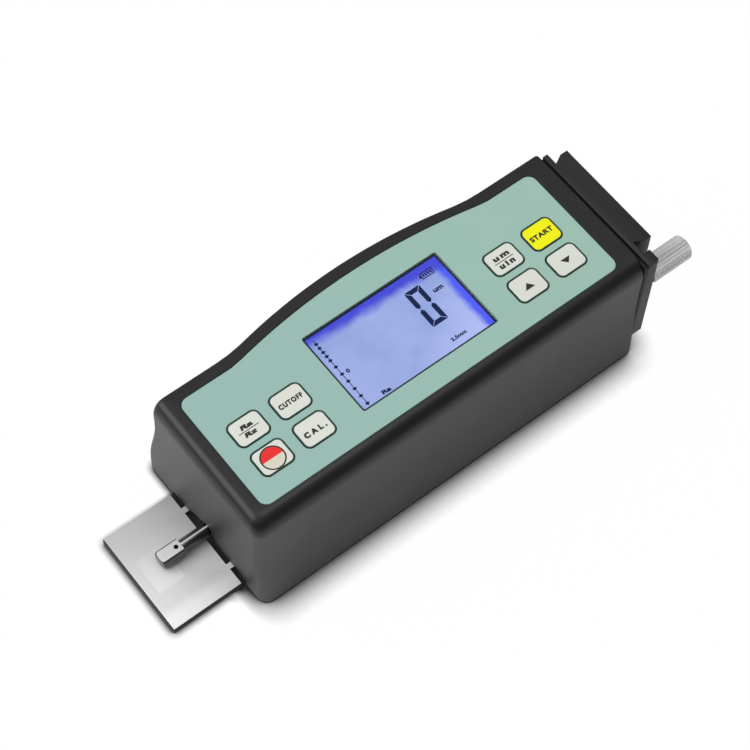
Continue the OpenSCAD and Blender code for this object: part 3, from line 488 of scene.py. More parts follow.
@dataclass(frozen=True)
class Ink(Finish):
    """Printed ink, slightly uneven."""

    colour: Colour
    roughness: float = 0.55
    specular: float = 0.5
    blotch_scale: float = 3000.0
    thinnest: float = 0.85

    def surface(self, graph: Graph) -> Socket:
        """Builds the ink with a faint blotch in its colour.

        Args:
            graph: Graph of the material.

        Returns:
            The shader's output.
        """
        blotch = graph.noise(graph.place(), self.blotch_scale)
        thin = tuple(c * self.thinnest for c in self.colour)
        colour = graph.mix(graph.remap(blotch, *NOISE_SPAN, 0.0, 1.0), thin, self.colour)
        shader = graph.add("ShaderNodeBsdfPrincipled", Base_Color=colour, Roughness=self.roughness)
        graph.feed(shader, "Specular IOR Level", self.specular)
        return shader.outputs["BSDF"]


@dataclass(frozen=True)
class Display(Finish):
    """Backlit display field: pale lavender with a deeper blue glow along its far and rear edges."""

    far_y: float
    rear_x: float
    pale: Colour = field(default_factory=lambda: srgb(166, 184, 241))
    middle: Colour = field(default_factory=lambda: srgb(150, 172, 230))
    bright: Colour = field(default_factory=lambda: srgb(184, 198, 255))
    far_glow: Colour = field(default_factory=lambda: srgb(62, 70, 222))
    rear_glow: Colour = field(default_factory=lambda: srgb(73, 93, 255))
    far_band: tuple[float, float] = (5.2 * MM, 1.2 * MM)
    rear_band: tuple[float, float] = (4.0 * MM, 1.1 * MM)
    bright_slope: tuple[float, float] = (8 * MM, 34 * MM)
    ripple: float = 0.7 * MM
    ripple_scale: float = 260.0
    cloud_scale: float = 75.0
    far_lean: float = 0.035
    strength: float = 0.86
    unlit: Colour = (0.02, 0.02, 0.04)
    roughness: float = 0.4
    specular: float = 0.1

    def surface(self, graph: Graph) -> Socket:
        """Builds the glow from the distance to the two bright edges.

        Args:
            graph: Graph of the material.

        Returns:
            The shader's output.
        """
        place = graph.place()
        split = graph.add("ShaderNodeSeparateXYZ", Vector=place)
        wave = graph.noise(place, self.ripple_scale, detail=3.0)
        ripple = graph.remap(wave, *NOISE_WIDE, -self.ripple, self.ripple)
        along = graph.math("ADD", split.outputs["X"], ripple)
        across = graph.math("ADD", split.outputs["Y"], ripple)
        lean = graph.math("MULTIPLY_ADD", split.outputs["X"], self.far_lean, across)
        far_start, far_end = (self.far_y - inset for inset in self.far_band)
        rear_start, rear_end = (self.rear_x - inset for inset in self.rear_band)
        far = graph.remap(lean, far_start, far_end, 0.0, 1.0, True)
        rear = graph.remap(along, rear_start, rear_end, 0.0, 1.0, True)
        haze = graph.noise(place, self.cloud_scale)
        cloud = graph.remap(haze, *NOISE_MIDDLE, 0.0, 1.0, True)
        colour = graph.mix(cloud, self.middle, self.pale)
        slope = graph.math("SUBTRACT", split.outputs["X"], split.outputs["Y"])
        corner = graph.remap(slope, *self.bright_slope, 0.0, 1.0, True)
        colour = graph.mix(corner, colour, self.bright)
        colour = graph.mix(rear, colour, self.rear_glow)
        colour = graph.mix(far, colour, self.far_glow)
        shader = graph.add("ShaderNodeBsdfPrincipled", Base_Color=self.unlit,
                           Roughness=self.roughness)
        graph.feed(shader, "Specular IOR Level", self.specular)
        graph.feed(shader, "Emission Color", colour)
        graph.feed(shader, "Emission Strength", self.strength)
        return shader.outputs["BSDF"]


@dataclass(frozen=True)
class ClearSheet(Finish):
    """Clear window sheet with a thin surface reflection."""

    roughness: float = 0.12
    haze: float = 0.08
    haze_scale: float = 900.0
    ior: float = 1.15

    def surface(self, graph: Graph) -> Socket:
        """Mixes a clear sheet with an outer reflection that grows towards grazing views.

        Args:
            graph: Graph of the material.

        Returns:
            The shader's output.
        """
        smear = graph.noise(graph.place(), self.haze_scale)
        haze = graph.remap(smear, *NOISE_SPAN, self.roughness, self.roughness + self.haze)
        clear = graph.add("ShaderNodeBsdfTransparent")
        shine = graph.add("ShaderNodeBsdfGlossy", Roughness=haze)
        fresnel = graph.add("ShaderNodeFresnel", IOR=self.ior)
        inside = graph.add("ShaderNodeNewGeometry").outputs["Backfacing"]
        outside = graph.math("SUBTRACT", 1.0, inside)
        blend = graph.add("ShaderNodeMixShader")
        graph.feed(blend, 0, graph.math("MULTIPLY", fresnel.outputs["Fac"], outside))
        graph.feed(blend, 1, clear.outputs["BSDF"])
        graph.feed(blend, 2, shine.outputs["BSDF"])
        return blend.outputs["Shader"]


@dataclass(frozen=True)
class StudioFloor(Finish):
    """Plain white studio floor that keeps the soft shadow where the object stands."""

    albedo: float = 0.92
    seen: float = 0.985
    mirrored: float = 0.15
    reach: float = 10 * MM
    low_reach: float = 2.5 * MM
    front_x: tuple[float, float] = (-79 * MM, -69 * MM)
    far_y: tuple[float, float] = (15.5 * MM, 18.5 * MM)
    open_span: tuple[float, float] = (0.5, 1.0)
    deepest: float = 0.01

    def surface(self, graph: Graph) -> Socket:
        """Mixes matt white with plain white light for the camera, and less of it in reflections.

        Args:
            graph: Graph of the material.

        Returns:
            The shader's output.
        """
        matt = graph.add("ShaderNodeBsdfDiffuse", Color=(self.albedo,) * 3)
        place = graph.add("ShaderNodeSeparateXYZ", Vector=graph.place())
        behind = graph.remap(place.outputs["X"], *self.front_x, 0.0, 1.0, True)
        near = graph.remap(place.outputs["Y"], *self.far_y, 1.0, 0.0, True)
        deep = graph.math("MULTIPLY", behind, near)
        reach = graph.remap(deep, 0.0, 1.0, self.low_reach, self.reach)
        cover = graph.add("ShaderNodeAmbientOcclusion", {"samples": 16}, Distance=reach)
        shade = graph.remap(cover.outputs["AO"], *self.open_span, self.deepest, 1.0)
        white = graph.add("ShaderNodeEmission", Color=(1.0, 1.0, 1.0), Strength=shade)
        path = graph.add("ShaderNodeLightPath")
        other = graph.math("MAXIMUM", path.outputs["Is Glossy Ray"],
                           path.outputs["Is Transmission Ray"])
        seen = graph.math("MULTIPLY", path.outputs["Is Camera Ray"], self.seen)
        mirrored = graph.math("MULTIPLY", other, self.mirrored)
        blend = graph.add("ShaderNodeMixShader")
        graph.feed(blend, 0, graph.math("MAXIMUM", seen, mirrored))
        graph.feed(blend, 1, matt.outputs["BSDF"])
        graph.feed(blend, 2, white.outputs["Emission"])
        return blend.outputs["Shader"]


class Finishes:
    """The tester's finishes."""

    CASE = Moulded("case_moulding", srgb(40, 40, 40), roughness=0.46, edge_highlight=0.5, specular=0.55)
    COVER = Moulded("cover_moulding", srgb(18, 18, 18), roughness=0.36, edge_highlight=0.3, specular=0.45)
    END = Moulded("end_moulding", srgb(20, 20, 20), roughness=0.46, edge_highlight=0.4)
    PANEL = Film("teal_film", srgb(156, 190, 177), edge_highlight=0.0, tint=srgb(150, 185, 177))
    OUTLINE_AND_SHADE = Ink("panel_outline", srgb(30, 62, 52))
    KEY = Film("key_film", srgb(218, 221, 212))
    START = Film("start_film", srgb(243, 241, 10), specular=0.2)
    INK = Ink("black_ink", srgb(30, 28, 26))
    RED = Ink("red_ink", srgb(240, 26, 20))
    CREAM = Ink("cream_ink", srgb(224, 218, 200))
    NAVY = Ink("segment_ink", srgb(32, 42, 84), specular=0.0)
    WINDOW = ClearSheet("window_sheet")
    TUBE = Metal("pickup_tube_steel", srgb(96, 96, 98), roughness=0.2, variation=0.06)
    NOSE_SIDE = Metal("skid_side_steel", srgb(96, 96, 96), roughness=0.28, variation=0.08)
    # Painted highlight: a much paler steel for faces that point straight up.
    TOP_HIGHLIGHT = Metal("skid_top_painted_highlight", srgb(216, 216, 216), roughness=0.4, variation=0.06,
                     metallic=0.5)
    PLATE = GroundPlate("ground_plate", srgb(222, 222, 222), roughness=0.5, axis=Axis.Y,
                        variation=0.03, metallic=0.2)
    PLATE_EDGE = Metal("dark_plate_side", srgb(40, 40, 42), roughness=0.6, variation=0.1,
                       metallic=0.4)
    KNOB = Metal("ridged_alloy", srgb(222, 222, 223), roughness=0.44, variation=0.06, metallic=0.5)
    STEEL = Metal("bright_steel", srgb(190, 190, 194), roughness=0.24)
    DARK_STEEL = Metal("dark_screws", srgb(82, 82, 86), roughness=0.34)
    ALLOY = Metal("machined_alloy", srgb(200, 200, 204), roughness=0.38, axis=Axis.Y)
    BRASS = Metal("brass", srgb(196, 158, 84), roughness=0.3)
    RUBBER = Moulded("rubber", srgb(24, 24, 24), roughness=0.8, grain=2600.0, depth=0.03 * MM)
    # Painted shade: near black, for the lining of the pickup's opening and the skid's screw.
    RECESS_SHADE = Moulded("painted_recess_shade", srgb(7, 7, 7), roughness=0.85, edge_highlight=0.0, specular=0.05)
    # Painted shade: darker plastic for the groove along the end plate's top front edge.
    GROOVE_SHADE = Moulded("groove_painted_shade", srgb(14, 14, 14), roughness=0.6, edge_highlight=0.0, specular=0.35)
    BLACK = Moulded("black_moulding", srgb(26, 26, 27), roughness=0.5)
    BOARD = Moulded("solder_mask", srgb(24, 96, 58), roughness=0.3, mottle=0.1)
    WRAP = Moulded("cell_wrap", srgb(58, 84, 150), roughness=0.25, mottle=0.05)
    DIFFUSER = Moulded("light_guide", srgb(228, 232, 248), roughness=0.6, mottle=0.03)


def body_of(node: str) -> str:
    """Returns the name of the body that a CAD node belongs to."""
    bodies = frame["record"]["behaviour"]["bodies"]
    return next(body for body, nodes in bodies.items() if node in nodes)


def add_piece(name: str, bm: bmesh.types.BMesh, finishes: list[Finish], node: str,
              angle: float = 30.0) -> bpy.types.Object:
    """Makes a piece from a bmesh, smooth up to an angle, that rides with a CAD node's body.

    Args:
        name: Name of the piece.
        bm: Its mesh in the part's frame, freed here.
        finishes: Finishes by material index.
        node: CAD node whose body the piece takes.
        angle: Largest angle in degrees that is shaded smooth.

    Returns:
        The new object.
    """
    mesh = bpy.data.meshes.new(name)
    bm.to_mesh(mesh)
    bm.free()
    custom = mesh.attributes.get("custom_normal")
    if custom:
        mesh.attributes.remove(custom)
    for finish in finishes:
        mesh.materials.append(finish.material())
    mesh.shade_smooth()
    mesh.set_sharp_from_angle(angle=math.radians(angle))
    piece = bpy.data.objects.new(name, mesh)
    bpy.context.scene.collection.objects.link(piece)
    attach(piece, body_of(node))
    LOG.info("made %s", name)
    return piece


def cad_mesh(node: str, dissolve: bool = True) -> bmesh.types.BMesh:
    """Returns a CAD node's mesh as a new bmesh with its seams joined.

    Args:
        node: Name of the node.
        dissolve: True to merge flat triangles into whole faces.

    Returns:
        The bmesh, with every face on material 0.
    """
    bm = bmesh.new()
    bm.from_mesh(frame["nodes"][node].data)
    bmesh.ops.remove_doubles(bm, verts=bm.verts, dist=JOIN)
    if dissolve:
        bmesh.ops.dissolve_limit(bm, angle_limit=math.radians(FLAT_ANGLE), verts=bm.verts,
                                 edges=bm.edges)
    for face in bm.faces:
        face.material_index = 0
    return bm


def soften(bm: bmesh.types.BMesh, edges: list[bmesh.types.BMEdge], width: float,
           segments: int = 2) -> None:
    """Rounds the given edges of a bmesh.

    Args:
        bm: Mesh to change.
        edges: Edges to round.
        width: Width of the rounding in metres.
        segments: Faces across the rounding.
    """
    bmesh.ops.bevel(bm, geom=edges, offset=width, offset_type="OFFSET", segments=segments,
                    profile=0.5, affect="EDGES", clamp_overlap=True, material=-1)


def sharp_edges(bm: bmesh.types.BMesh, angle: float = 40.0) -> list[bmesh.types.BMEdge]:
    """Returns the outward edges of a bmesh that are sharper than an angle in degrees."""
    limit = math.radians(angle)
    return [e for e in bm.edges
            if len(e.link_faces) == 2 and e.is_convex and e.calc_face_angle(0.0) > limit]


@dataclass
class Shells:
    """The two smooth case shells, the softened end plate and leg, and painted shade in recesses."""

    smooth: dict[str, Finish] = field(default_factory=lambda: {
        "lower_case": Finishes.CASE, "upper_cover": Finishes.COVER})
    softened: dict[str, tuple[Finish, float]] = field(default_factory=lambda: {
        "end_plate": (Finishes.END, 0.3 * MM), "leg_slider": (Finishes.END, 0.35 * MM),
        "leg_foot": (Finishes.RUBBER, 0.4 * MM)})
    smooth_angle: float = 32.0
    opening_x: tuple[float, float] = (-71.5 * MM, -60.0 * MM)
    opening_y: float = 21.0 * MM
    opening_z: float = 11.0 * MM
    front_facing: float = -0.3
    groove: tuple[float, float] = (1.0 * MM, 1.4 * MM)

    def build(self) -> None:
        """Makes the shells."""
        for node, finish in self.smooth.items():
            bm, finishes = cad_mesh(node, dissolve=False), [finish]
            if node == "lower_case":
                # Painted shade: faces lining the pickup's opening and the plate's mouth are painted
                # near black.
                finishes.append(Finishes.RECESS_SHADE)
                self._paint_shade(bm, self._in_opening)
            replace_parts(add_piece(f"{node}_skin", bm, finishes, node, self.smooth_angle), node)
        for node, (finish, width) in self.softened.items():
            bm, finishes = cad_mesh(node), [finish]
            soften(bm, sharp_edges(bm), width)
            # Painted shade: the groove's faces along the top front edge are painted darker.
            if node == "end_plate":
                finishes.append(Finishes.GROOVE_SHADE)
                self._paint_shade(bm, self._in_groove)
            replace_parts(add_piece(f"{node}_skin", bm, finishes, node), node)

    @staticmethod
    def _paint_shade(bm: bmesh.types.BMesh, inside: Callable[[bmesh.types.BMFace], bool]) -> None:
        """Gives the faces that a test picks the second finish, a darker painted shade."""
        for face in bm.faces:
            face.material_index = int(inside(face))

    def _in_opening(self, face: bmesh.types.BMFace) -> bool:
        """Tells whether a face lines the pickup's opening or the plate's mouth.

        Args:
            face: Face to test.

        Returns:
            True where it does.
        """
        middle = face.calc_center_median()
        front, rear = self.opening_x
        return (front < middle.x < rear and abs(middle.y) < self.opening_y
                and middle.z < self.opening_z and face.normal.x > self.front_facing)

    def _in_groove(self, face: bmesh.types.BMFace) -> bool:
        """Tells whether a face lies in the groove along the end plate's top front edge.

        Args:
            face: Face to test.

        Returns:
            True where it does.
        """
        low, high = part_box("end_plate")
        middle = face.calc_center_median()
        width, depth = self.groove
        return (middle.x < low.x + width and middle.z > high.z - depth
                and max(abs(face.normal.x), face.normal.z) > FACING)


@dataclass
class SpecimenPlate:
    """The ground plate under the pickup, bright on top and dark on its upright sides."""

    node: str = "specimen_plate"
    edge: float = 0.12 * MM

    def build(self) -> None:
        """Softens the plate's edges and gives its upright sides a dark finish."""
        bm = cad_mesh(self.node)
        soften(bm, sharp_edges(bm), self.edge)
        for face in bm.faces:
            face.material_index = 0 if face.normal.z > FACING else 1
        finishes = [Finishes.PLATE, Finishes.PLATE_EDGE]
        piece = add_piece("specimen_plate_skin", bm, finishes, self.node)
        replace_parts(piece, self.node)


@dataclass
class Panel:
    """The printed panel film with a dark line of painted shade around its edge and the display."""

    node: str = "front_panel"
    outline: float = 0.2 * MM
    key_margin: float = 1.0 * MM

    def build(self) -> None:
        """Insets the film's face so a thin line of painted shade runs along edges not beside keys.
        """
        bm = cad_mesh(self.node, dissolve=False)
        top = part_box(self.node)[1].z
        faces = [f for f in bm.faces
                 if f.normal.z > FACING and abs(f.calc_center_median().z - top) < LEVEL]
        edge = bmesh.ops.inset_region(bm, faces=faces, thickness=self.outline,
                                      use_even_offset=True, use_boundary=True)
        keys = [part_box(node) for node in Keys.nodes]
        for face in edge["faces"]:
            x, y, _ = face.calc_center_median()
            near = self.key_margin
            at_key = any(low.x < x + near and x - near < high.x
                         and low.y < y + near and y - near < high.y for low, high in keys)
            # Painted shade: the ring is dark green, except beside the keys.
            face.material_index = 0 if at_key else 1
        piece = add_piece("panel_face", bm, [Finishes.PANEL, Finishes.OUTLINE_AND_SHADE], self.node)
        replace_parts(piece, self.node)


class FlatArt:
    """Collects flat printed shapes at one height into one mesh."""

    SHEET: ClassVar[float] = 0.001 * MM
    STROKE: ClassVar[float] = 0.02
    CURVE_STEPS: ClassVar[int] = 4
    CORNERS: ClassVar[tuple[tuple[float, float], ...]] = (
        (-0.5, -0.5), (0.5, -0.5), (0.5, 0.5), (-0.5, 0.5))

    def __init__(self, height: float) -> None:
        """Starts empty art at a height in metres."""
        self.height = height
        self.bm = bmesh.new()
        self.finishes: list[Finish] = []

    def _index(self, finish: Finish) -> int:
        """Finds the material index of a finish, adding it if it is new.

        Args:
            finish: Finish to find.

        Returns:
            Its index.
        """
        if finish not in self.finishes:
            self.finishes.append(finish)
        return self.finishes.index(finish)

    def polygon(self, points: list[tuple[float, float]], finish: Finish) -> None:
        """Adds a polygon whose corners run anticlockwise, in millimetres."""
        verts = [self.bm.verts.new((x * MM, y * MM, self.height)) for x, y in points]
        self.bm.faces.new(verts).material_index = self._index(finish)

    def bar(self, x0: float, y0: float, x1: float, y1: float, finish: Finish) -> None:
        """Adds a rectangle between two corners in millimetres."""
        self.polygon([(x0, y0), (x1, y0), (x1, y1), (x0, y1)], finish)

    def ring(self, x: float, y: float, outer: float, inner: float, finish: Finish,
             steps: int = 64) -> None:
        """Adds a ring.

        Args:
            x: Middle in millimetres.
            y: Middle in millimetres.
            outer: Outer radius in millimetres.
            inner: Inner radius in millimetres.
            finish: Its ink.
            steps: Faces round the ring.
        """
        turn = [2 * math.pi * i / steps for i in range(steps + 1)]
        for a, b in zip(turn, turn[1:]):
            self.polygon([(x + r * math.cos(t), y + r * math.sin(t))
                          for r, t in ((inner, a), (outer, a), (outer, b), (inner, b))], finish)

    def half_disc(self, x: float, y: float, radius: float, start: float, finish: Finish,
                  steps: int = 32) -> None:
        """Adds a half disc that begins at an angle in degrees."""
        turn = [math.radians(start + 180 * i / steps) for i in range(steps + 1)]
        self.polygon([(x + radius * math.cos(a), y + radius * math.sin(a)) for a in turn], finish)

    def text(self, words: str, x: float, y: float, width: float, height: float, finish: Finish,
             bold: float = 0.0, slant: float = 0.0, spacing: float = 1.0) -> None:
        """Adds lettering fitted to a box, printed over itself with small shifts where it is bold.

        Args:
            words: Text to set.
            x: Middle of the box in millimetres.
            y: Middle of the box in millimetres.
            width: Width of the box in millimetres.
            height: Height of the box in millimetres.
            finish: Its ink.
            bold: How much wider a stroke is printed, in millimetres.
            slant: Sideways lean per unit of height.
            spacing: Distance between letters, where 1 is normal.
        """
        curve = bpy.data.curves.new("setting", "FONT")
        curve.body, curve.space_character = words, spacing
        curve.offset, curve.resolution_u = self.STROKE, self.CURVE_STEPS
        holder = bpy.data.objects.new("setting", curve)
        bpy.context.scene.collection.objects.link(holder)
        depsgraph = bpy.context.evaluated_depsgraph_get()
        mesh = bpy.data.meshes.new_from_object(holder.evaluated_get(depsgraph))
        places = [v.co.copy() for v in mesh.vertices]
        xs, ys = [p.x for p in places], [p.y for p in places]
        middle = ((min(xs) + max(xs)) / 2, (min(ys) + max(ys)) / 2)
        scale = ((width - bold) / (max(xs) - min(xs)), (height - bold) / (max(ys) - min(ys)))
        index, start = self._index(finish), len(self.bm.faces)
        shifts = (*self.CORNERS, (0.0, 0.0)) if bold else ((0.0, 0.0),)
        for layer, (aside, above) in enumerate(shifts):
            for vert, old in zip(mesh.vertices, places):
                up = (old.y - middle[1]) * scale[1] + above * bold
                across = (old.x - middle[0]) * scale[0] + aside * bold + slant * up
                vert.co = ((x + across) * MM, (y + up) * MM, self.height + layer * self.SHEET)
            self.bm.from_mesh(mesh)
        self.bm.faces.ensure_lookup_table()
        for face in self.bm.faces[start:]:
            face.material_index = index
        bpy.data.objects.remove(holder)
        bpy.data.curves.remove(curve)
        bpy.data.meshes.remove(mesh)

    def place(self, name: str, node: str) -> bpy.types.Object:
        """Makes the art a piece that rides with a CAD node's body.

        Args:
            name: Name of the piece.
            node: CAD node that it is printed on.

        Returns:
            The new object.
        """
        for face in self.bm.faces:
            if face.normal.z < 0:
                face.normal_flip()
        return add_piece(name, self.bm, self.finishes, node)


@dataclass
class Keys:
    """The eight keys with slightly sunken caps and their printed marks."""

    nodes: tuple[str, ...] = ("key_parameter", "key_cutoff", "key_power", "key_calibrate",
                              "key_unit", "key_start", "key_up", "key_down")
    sink: float = 0.03 * MM
    lift: float = 0.01 * MM
    outline: float = 0.4 * MM
    side_slope: float = 0.5

    def build(self) -> None:
        """Makes each key, a little lower than its node so that its mark stays in the part's box."""
        for node in self.nodes:
            low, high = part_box(node)
            bm = cad_mesh(node)
            top = [v for v in bm.verts if v.co.z > high.z - LEVEL]
            bmesh.ops.translate(bm, verts=top, vec=(0.0, 0.0, -self.sink))
            face = next(f for f in bm.faces if all(v in top for v in f.verts))
            edge = bmesh.ops.inset_region(bm, faces=[face], thickness=self.outline,
                                          use_even_offset=True)
            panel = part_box("front_panel")[1].z
            sides = [f for f in bm.faces if abs(f.normal.z) < self.side_slope
                     and max(v.co.z for v in f.verts) > panel]
            # The key's edge ring and its sides take the same dark green ink.
            for part in edge["faces"] + sides:
                part.material_index = 1
            finish = Finishes.START if node == "key_start" else Finishes.KEY
            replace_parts(add_piece(f"{node}_cap", bm, [finish, Finishes.OUTLINE_AND_SHADE], node), node)
            art = FlatArt(high.z - self.sink + self.lift)
            middle = (low + high) / 2 / MM
            getattr(self, f"_{node.removeprefix('key_')}")(art, middle.x, middle.y)
            art.place(f"{node}_mark", node)

    def _parameter(self, art: FlatArt, x: float, y: float) -> None:
        """Prints two parameter names, one above the other.

        Args:
            art: Where it is drawn.
            x: Middle of the key in millimetres.
            y: Middle of the key in millimetres.
        """
        art.text("Ra", x + 0.1, y + 1.2, 4.0, 1.6, Finishes.INK, 0.22, 0.25)
        art.bar(x - 3.4, y - 0.27, x + 3.4, y - 0.02, Finishes.INK)
        art.text("Rz", x - 0.15, y - 1.4, 3.9, 1.6, Finishes.INK, 0.22, 0.25)

    def _cutoff(self, art: FlatArt, x: float, y: float) -> None:
        """Prints the filter length key's word."""
        art.text("CUTOFF", x, y - 0.1, 8.1, 1.75, Finishes.INK, 0.16, spacing=1.25)

    def _power(self, art: FlatArt, x: float, y: float) -> None:
        """Prints a ringed disc, its far half red.

        Args:
            art: Where it is drawn.
            x: Middle of the key in millimetres.
            y: Middle of the key in millimetres.
        """
        art.half_disc(x, y - 0.2, 3.6, 0.0, Finishes.RED)
        art.half_disc(x, y - 0.2, 3.6, 180.0, Finishes.CREAM)
        art.height += self.lift
        art.ring(x, y - 0.2, 3.85, 3.4, Finishes.INK)

    def _calibrate(self, art: FlatArt, x: float, y: float) -> None:
        """Prints the calibration key's short word."""
        art.text("CAL.", x + 0.05, y - 0.4, 7.5, 1.9, Finishes.INK, 0.22, spacing=1.7)

    def _unit(self, art: FlatArt, x: float, y: float) -> None:
        """Prints the two length units, one above the other.

        Args:
            art: Where it is drawn.
            x: Middle of the key in millimetres.
            y: Middle of the key in millimetres.
        """
        art.text("um", x, y + 1.15, 5.6, 1.4, Finishes.INK, 0.27, spacing=1.3)
        art.bar(x - 3.4, y - 0.37, x + 3.4, y - 0.12, Finishes.INK)
        art.text("uin", x, y - 1.65, 5.4, 1.9, Finishes.INK, 0.27, spacing=1.4)

    def _start(self, art: FlatArt, x: float, y: float) -> None:
        """Prints the start key's word."""
        art.text("START", x - 0.1, y, 8.3, 1.8, Finishes.INK, 0.14, spacing=1.1)

    def _up(self, art: FlatArt, x: float, y: float) -> None:
        """Prints a triangle that points to the far side."""
        art.polygon([(x - 1.75, y - 1.2), (x + 1.75, y - 1.2), (x, y + 0.95)], Finishes.INK)

    def _down(self, art: FlatArt, x: float, y: float) -> None:
        """Prints a triangle that points to the near side."""
        art.polygon([(x - 1.75, y + 0.7), (x, y - 1.2), (x + 1.75, y + 0.7)], Finishes.INK)


@dataclass(frozen=True)
class Label:
    """Words on the display, with their middle, size and boldness in millimetres."""

    words: str
    x: float
    y: float
    width: float
    height: float
    bold: float


@dataclass
class Screen:
    """The backlit display with its segments, marks and clear window."""

    node: str = "lcd_cell"
    lift: float = 0.02 * MM
    window_edge: float = 0.06 * MM
    digit: tuple[float, ...] = (8.6, -5.1, 5.6, 13.9, 1.7)
    axis_x: float = -21.8
    ticks: tuple[float, ...] = (10.8, 9.2, 7.5, 5.8, 4.1, 1.5, -1.4, -4.3, -7.3, -10.2, -13.2)
    labels: tuple[Label, ...] = (
        Label("um", 17.9, 4.3, 3.4, 1.2, 0.14),
        Label("2.5mm", 12.7, -11.6, 5.4, 1.3, 0.1),
        Label("Ra", -15.0, -13.2, 3.0, 1.4, 0.14),
        Label("0", -19.8, -1.5, 1.1, 1.4, 0.12),
    )

    def build(self) -> None:
        """Makes the glowing field and what it shows."""
        low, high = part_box(self.node)
        bm = cad_mesh(self.node)
        field_finish = Display("display_glow", far_y=high.y, rear_x=high.x)
        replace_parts(add_piece("display_field", bm, [field_finish], self.node), self.node)
        art = FlatArt(high.z + self.lift)
        self._digit(art, *self.digit)
        self._battery(art)
        self._axis(art)
        for item in self.labels:
            art.text(item.words, item.x, item.y, item.width, item.height, Finishes.NAVY, item.bold)
        art.place("display_marks", self.node)
        window = cad_mesh("lcd_window")
        soften(window, sharp_edges(window), self.window_edge)
        piece = add_piece("display_window", window, [Finishes.WINDOW], "lcd_window")
        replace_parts(piece, "lcd_window")

    def _digit(self, art: FlatArt, x: float, y: float, w: float, h: float, t: float) -> None:
        """Draws a seven-segment zero: six mitred bars around an open middle.

        Args:
            art: Where it is drawn.
            x: Left side in millimetres.
            y: Lower side in millimetres.
            w: Width in millimetres.
            h: Height in millimetres.
            t: Thickness of a bar in millimetres.
        """
        gap, mid = 0.12, y + h / 2
        art.polygon([(x + gap, y), (x + w - gap, y), (x + w - t, y + t - gap),
                     (x + t, y + t - gap)], Finishes.NAVY)
        art.polygon([(x + t, y + h - t + gap), (x + w - t, y + h - t + gap),
                     (x + w - gap, y + h), (x + gap, y + h)], Finishes.NAVY)
        for side, inward in ((x, 1), (x + w, -1)):
            for base, up in ((y, 1), (y + h, -1)):
                points = [(side, base + up * gap), (side + inward * (t - gap), base + up * t),
                          (side + inward * (t - gap), mid - up * (t / 2 + gap)),
                          (side + inward * t / 2, mid - up * gap),
                          (side, mid - up * (t / 2 + gap))]
                art.polygon(points if inward * up > 0 else points[::-1], Finishes.NAVY)

    def _battery(self, art: FlatArt) -> None:
        """Draws a small battery outline with bars in it.

        Args:
            art: Where it is drawn.
        """
        x0, y0, x1, y1, t = 16.3, 9.25, 20.7, 11.55, 0.32
        for bar in ((x0, y0, x1, y0 + t), (x0, y1 - t, x1, y1), (x0, y0, x0 + t, y1),
                    (x1 - t, y0, x1, y1), (x0 - 0.55, 9.95, x0, 10.75)):
            art.bar(*bar, Finishes.NAVY)
        for i in range(4):
            art.bar(x0 + 0.62 + 0.86 * i, y0 + 0.6, x0 + 1.18 + 0.86 * i, y1 - 0.6, Finishes.NAVY)

    def _axis(self, art: FlatArt) -> None:
        """Draws the graph's upright axis with its ticks.

        Args:
            art: Where it is drawn.
        """
        x = self.axis_x
        art.bar(x - 0.12, -14.0, x + 0.12, 12.3, Finishes.NAVY)
        for y in self.ticks:
            art.polygon([(x - 0.8, y), (x, y - 0.6), (x + 0.8, y), (x, y + 0.6)], Finishes.NAVY)


@dataclass
class Drive:
    """The visible pickup and knob, and plain finishes for the pieces inside the case."""

    smooth_angle: float = 24.0
    painted_top_highlight: dict[str, tuple[Finish, float]] = field(default_factory=lambda: {
        "pickup_tube": (Finishes.TUBE, 0.985), "skid_nose": (Finishes.NOSE_SIDE, 0.9)})
    inner: dict[str, Finish] = field(default_factory=lambda: {
        "case_screws": Finishes.DARK_STEEL, "rail_screws": Finishes.DARK_STEEL,
        # The skid's screw takes the near-black painted shade.
        "nose_screw": Finishes.RECESS_SHADE, "backlight": Finishes.DIFFUSER,
        "lcd_frame": Finishes.BLACK, "main_board": Finishes.BOARD,
        "key_switches": Finishes.BLACK, "board_chips": Finishes.BLACK,
        "board_screws": Finishes.STEEL, "battery_tray": Finishes.BLACK,
        "battery_pack": Finishes.WRAP, "drive_frame": Finishes.ALLOY,
        "frame_screws": Finishes.STEEL, "guide_rod_near": Finishes.STEEL,
        "guide_rod_far": Finishes.STEEL, "front_bush": Finishes.BRASS,
        "rear_bush": Finishes.BRASS, "lead_screw": Finishes.STEEL,
        "screw_gear": Finishes.BRASS, "lead_nut": Finishes.BRASS,
        "carriage": Finishes.ALLOY, "drive_motor": Finishes.STEEL,
        "motor_screws": Finishes.DARK_STEEL, "motor_shaft": Finishes.STEEL,
        "motor_pinion": Finishes.BRASS, "limit_switches": Finishes.BLACK,
        "pickup_socket": Finishes.TUBE, "sensing_coil": Finishes.BRASS,
        "pivot_pin": Finishes.STEEL, "stylus_arm": Finishes.STEEL,
        "stylus_tip": Finishes.STEEL})

    def build(self) -> None:
        """Dresses the drive's pieces."""
        knob = cad_mesh("clamp_knob", dissolve=False)
        piece = add_piece("clamp_knob_skin", knob, [Finishes.KNOB], "clamp_knob", self.smooth_angle)
        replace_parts(piece, "clamp_knob")
        # Painted highlight: up-facing faces take paler steel, a line on the tube and the skid's
        # flat top.
        for node, (finish, upright) in self.painted_top_highlight.items():
            bm = cad_mesh(node, dissolve=False)
            for face in bm.faces:
                face.material_index = int(face.normal.z > upright)
            finishes = [finish, Finishes.TOP_HIGHLIGHT]
            piece = add_piece(f"{node}_skin", bm, finishes, node, self.smooth_angle)
            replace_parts(piece, node)
        for node, finish in self.inner.items():
            mesh = frame["nodes"][node].data
            mesh.materials.clear()
            mesh.materials.append(finish.material())
            LOG.info("dressed %s", node)


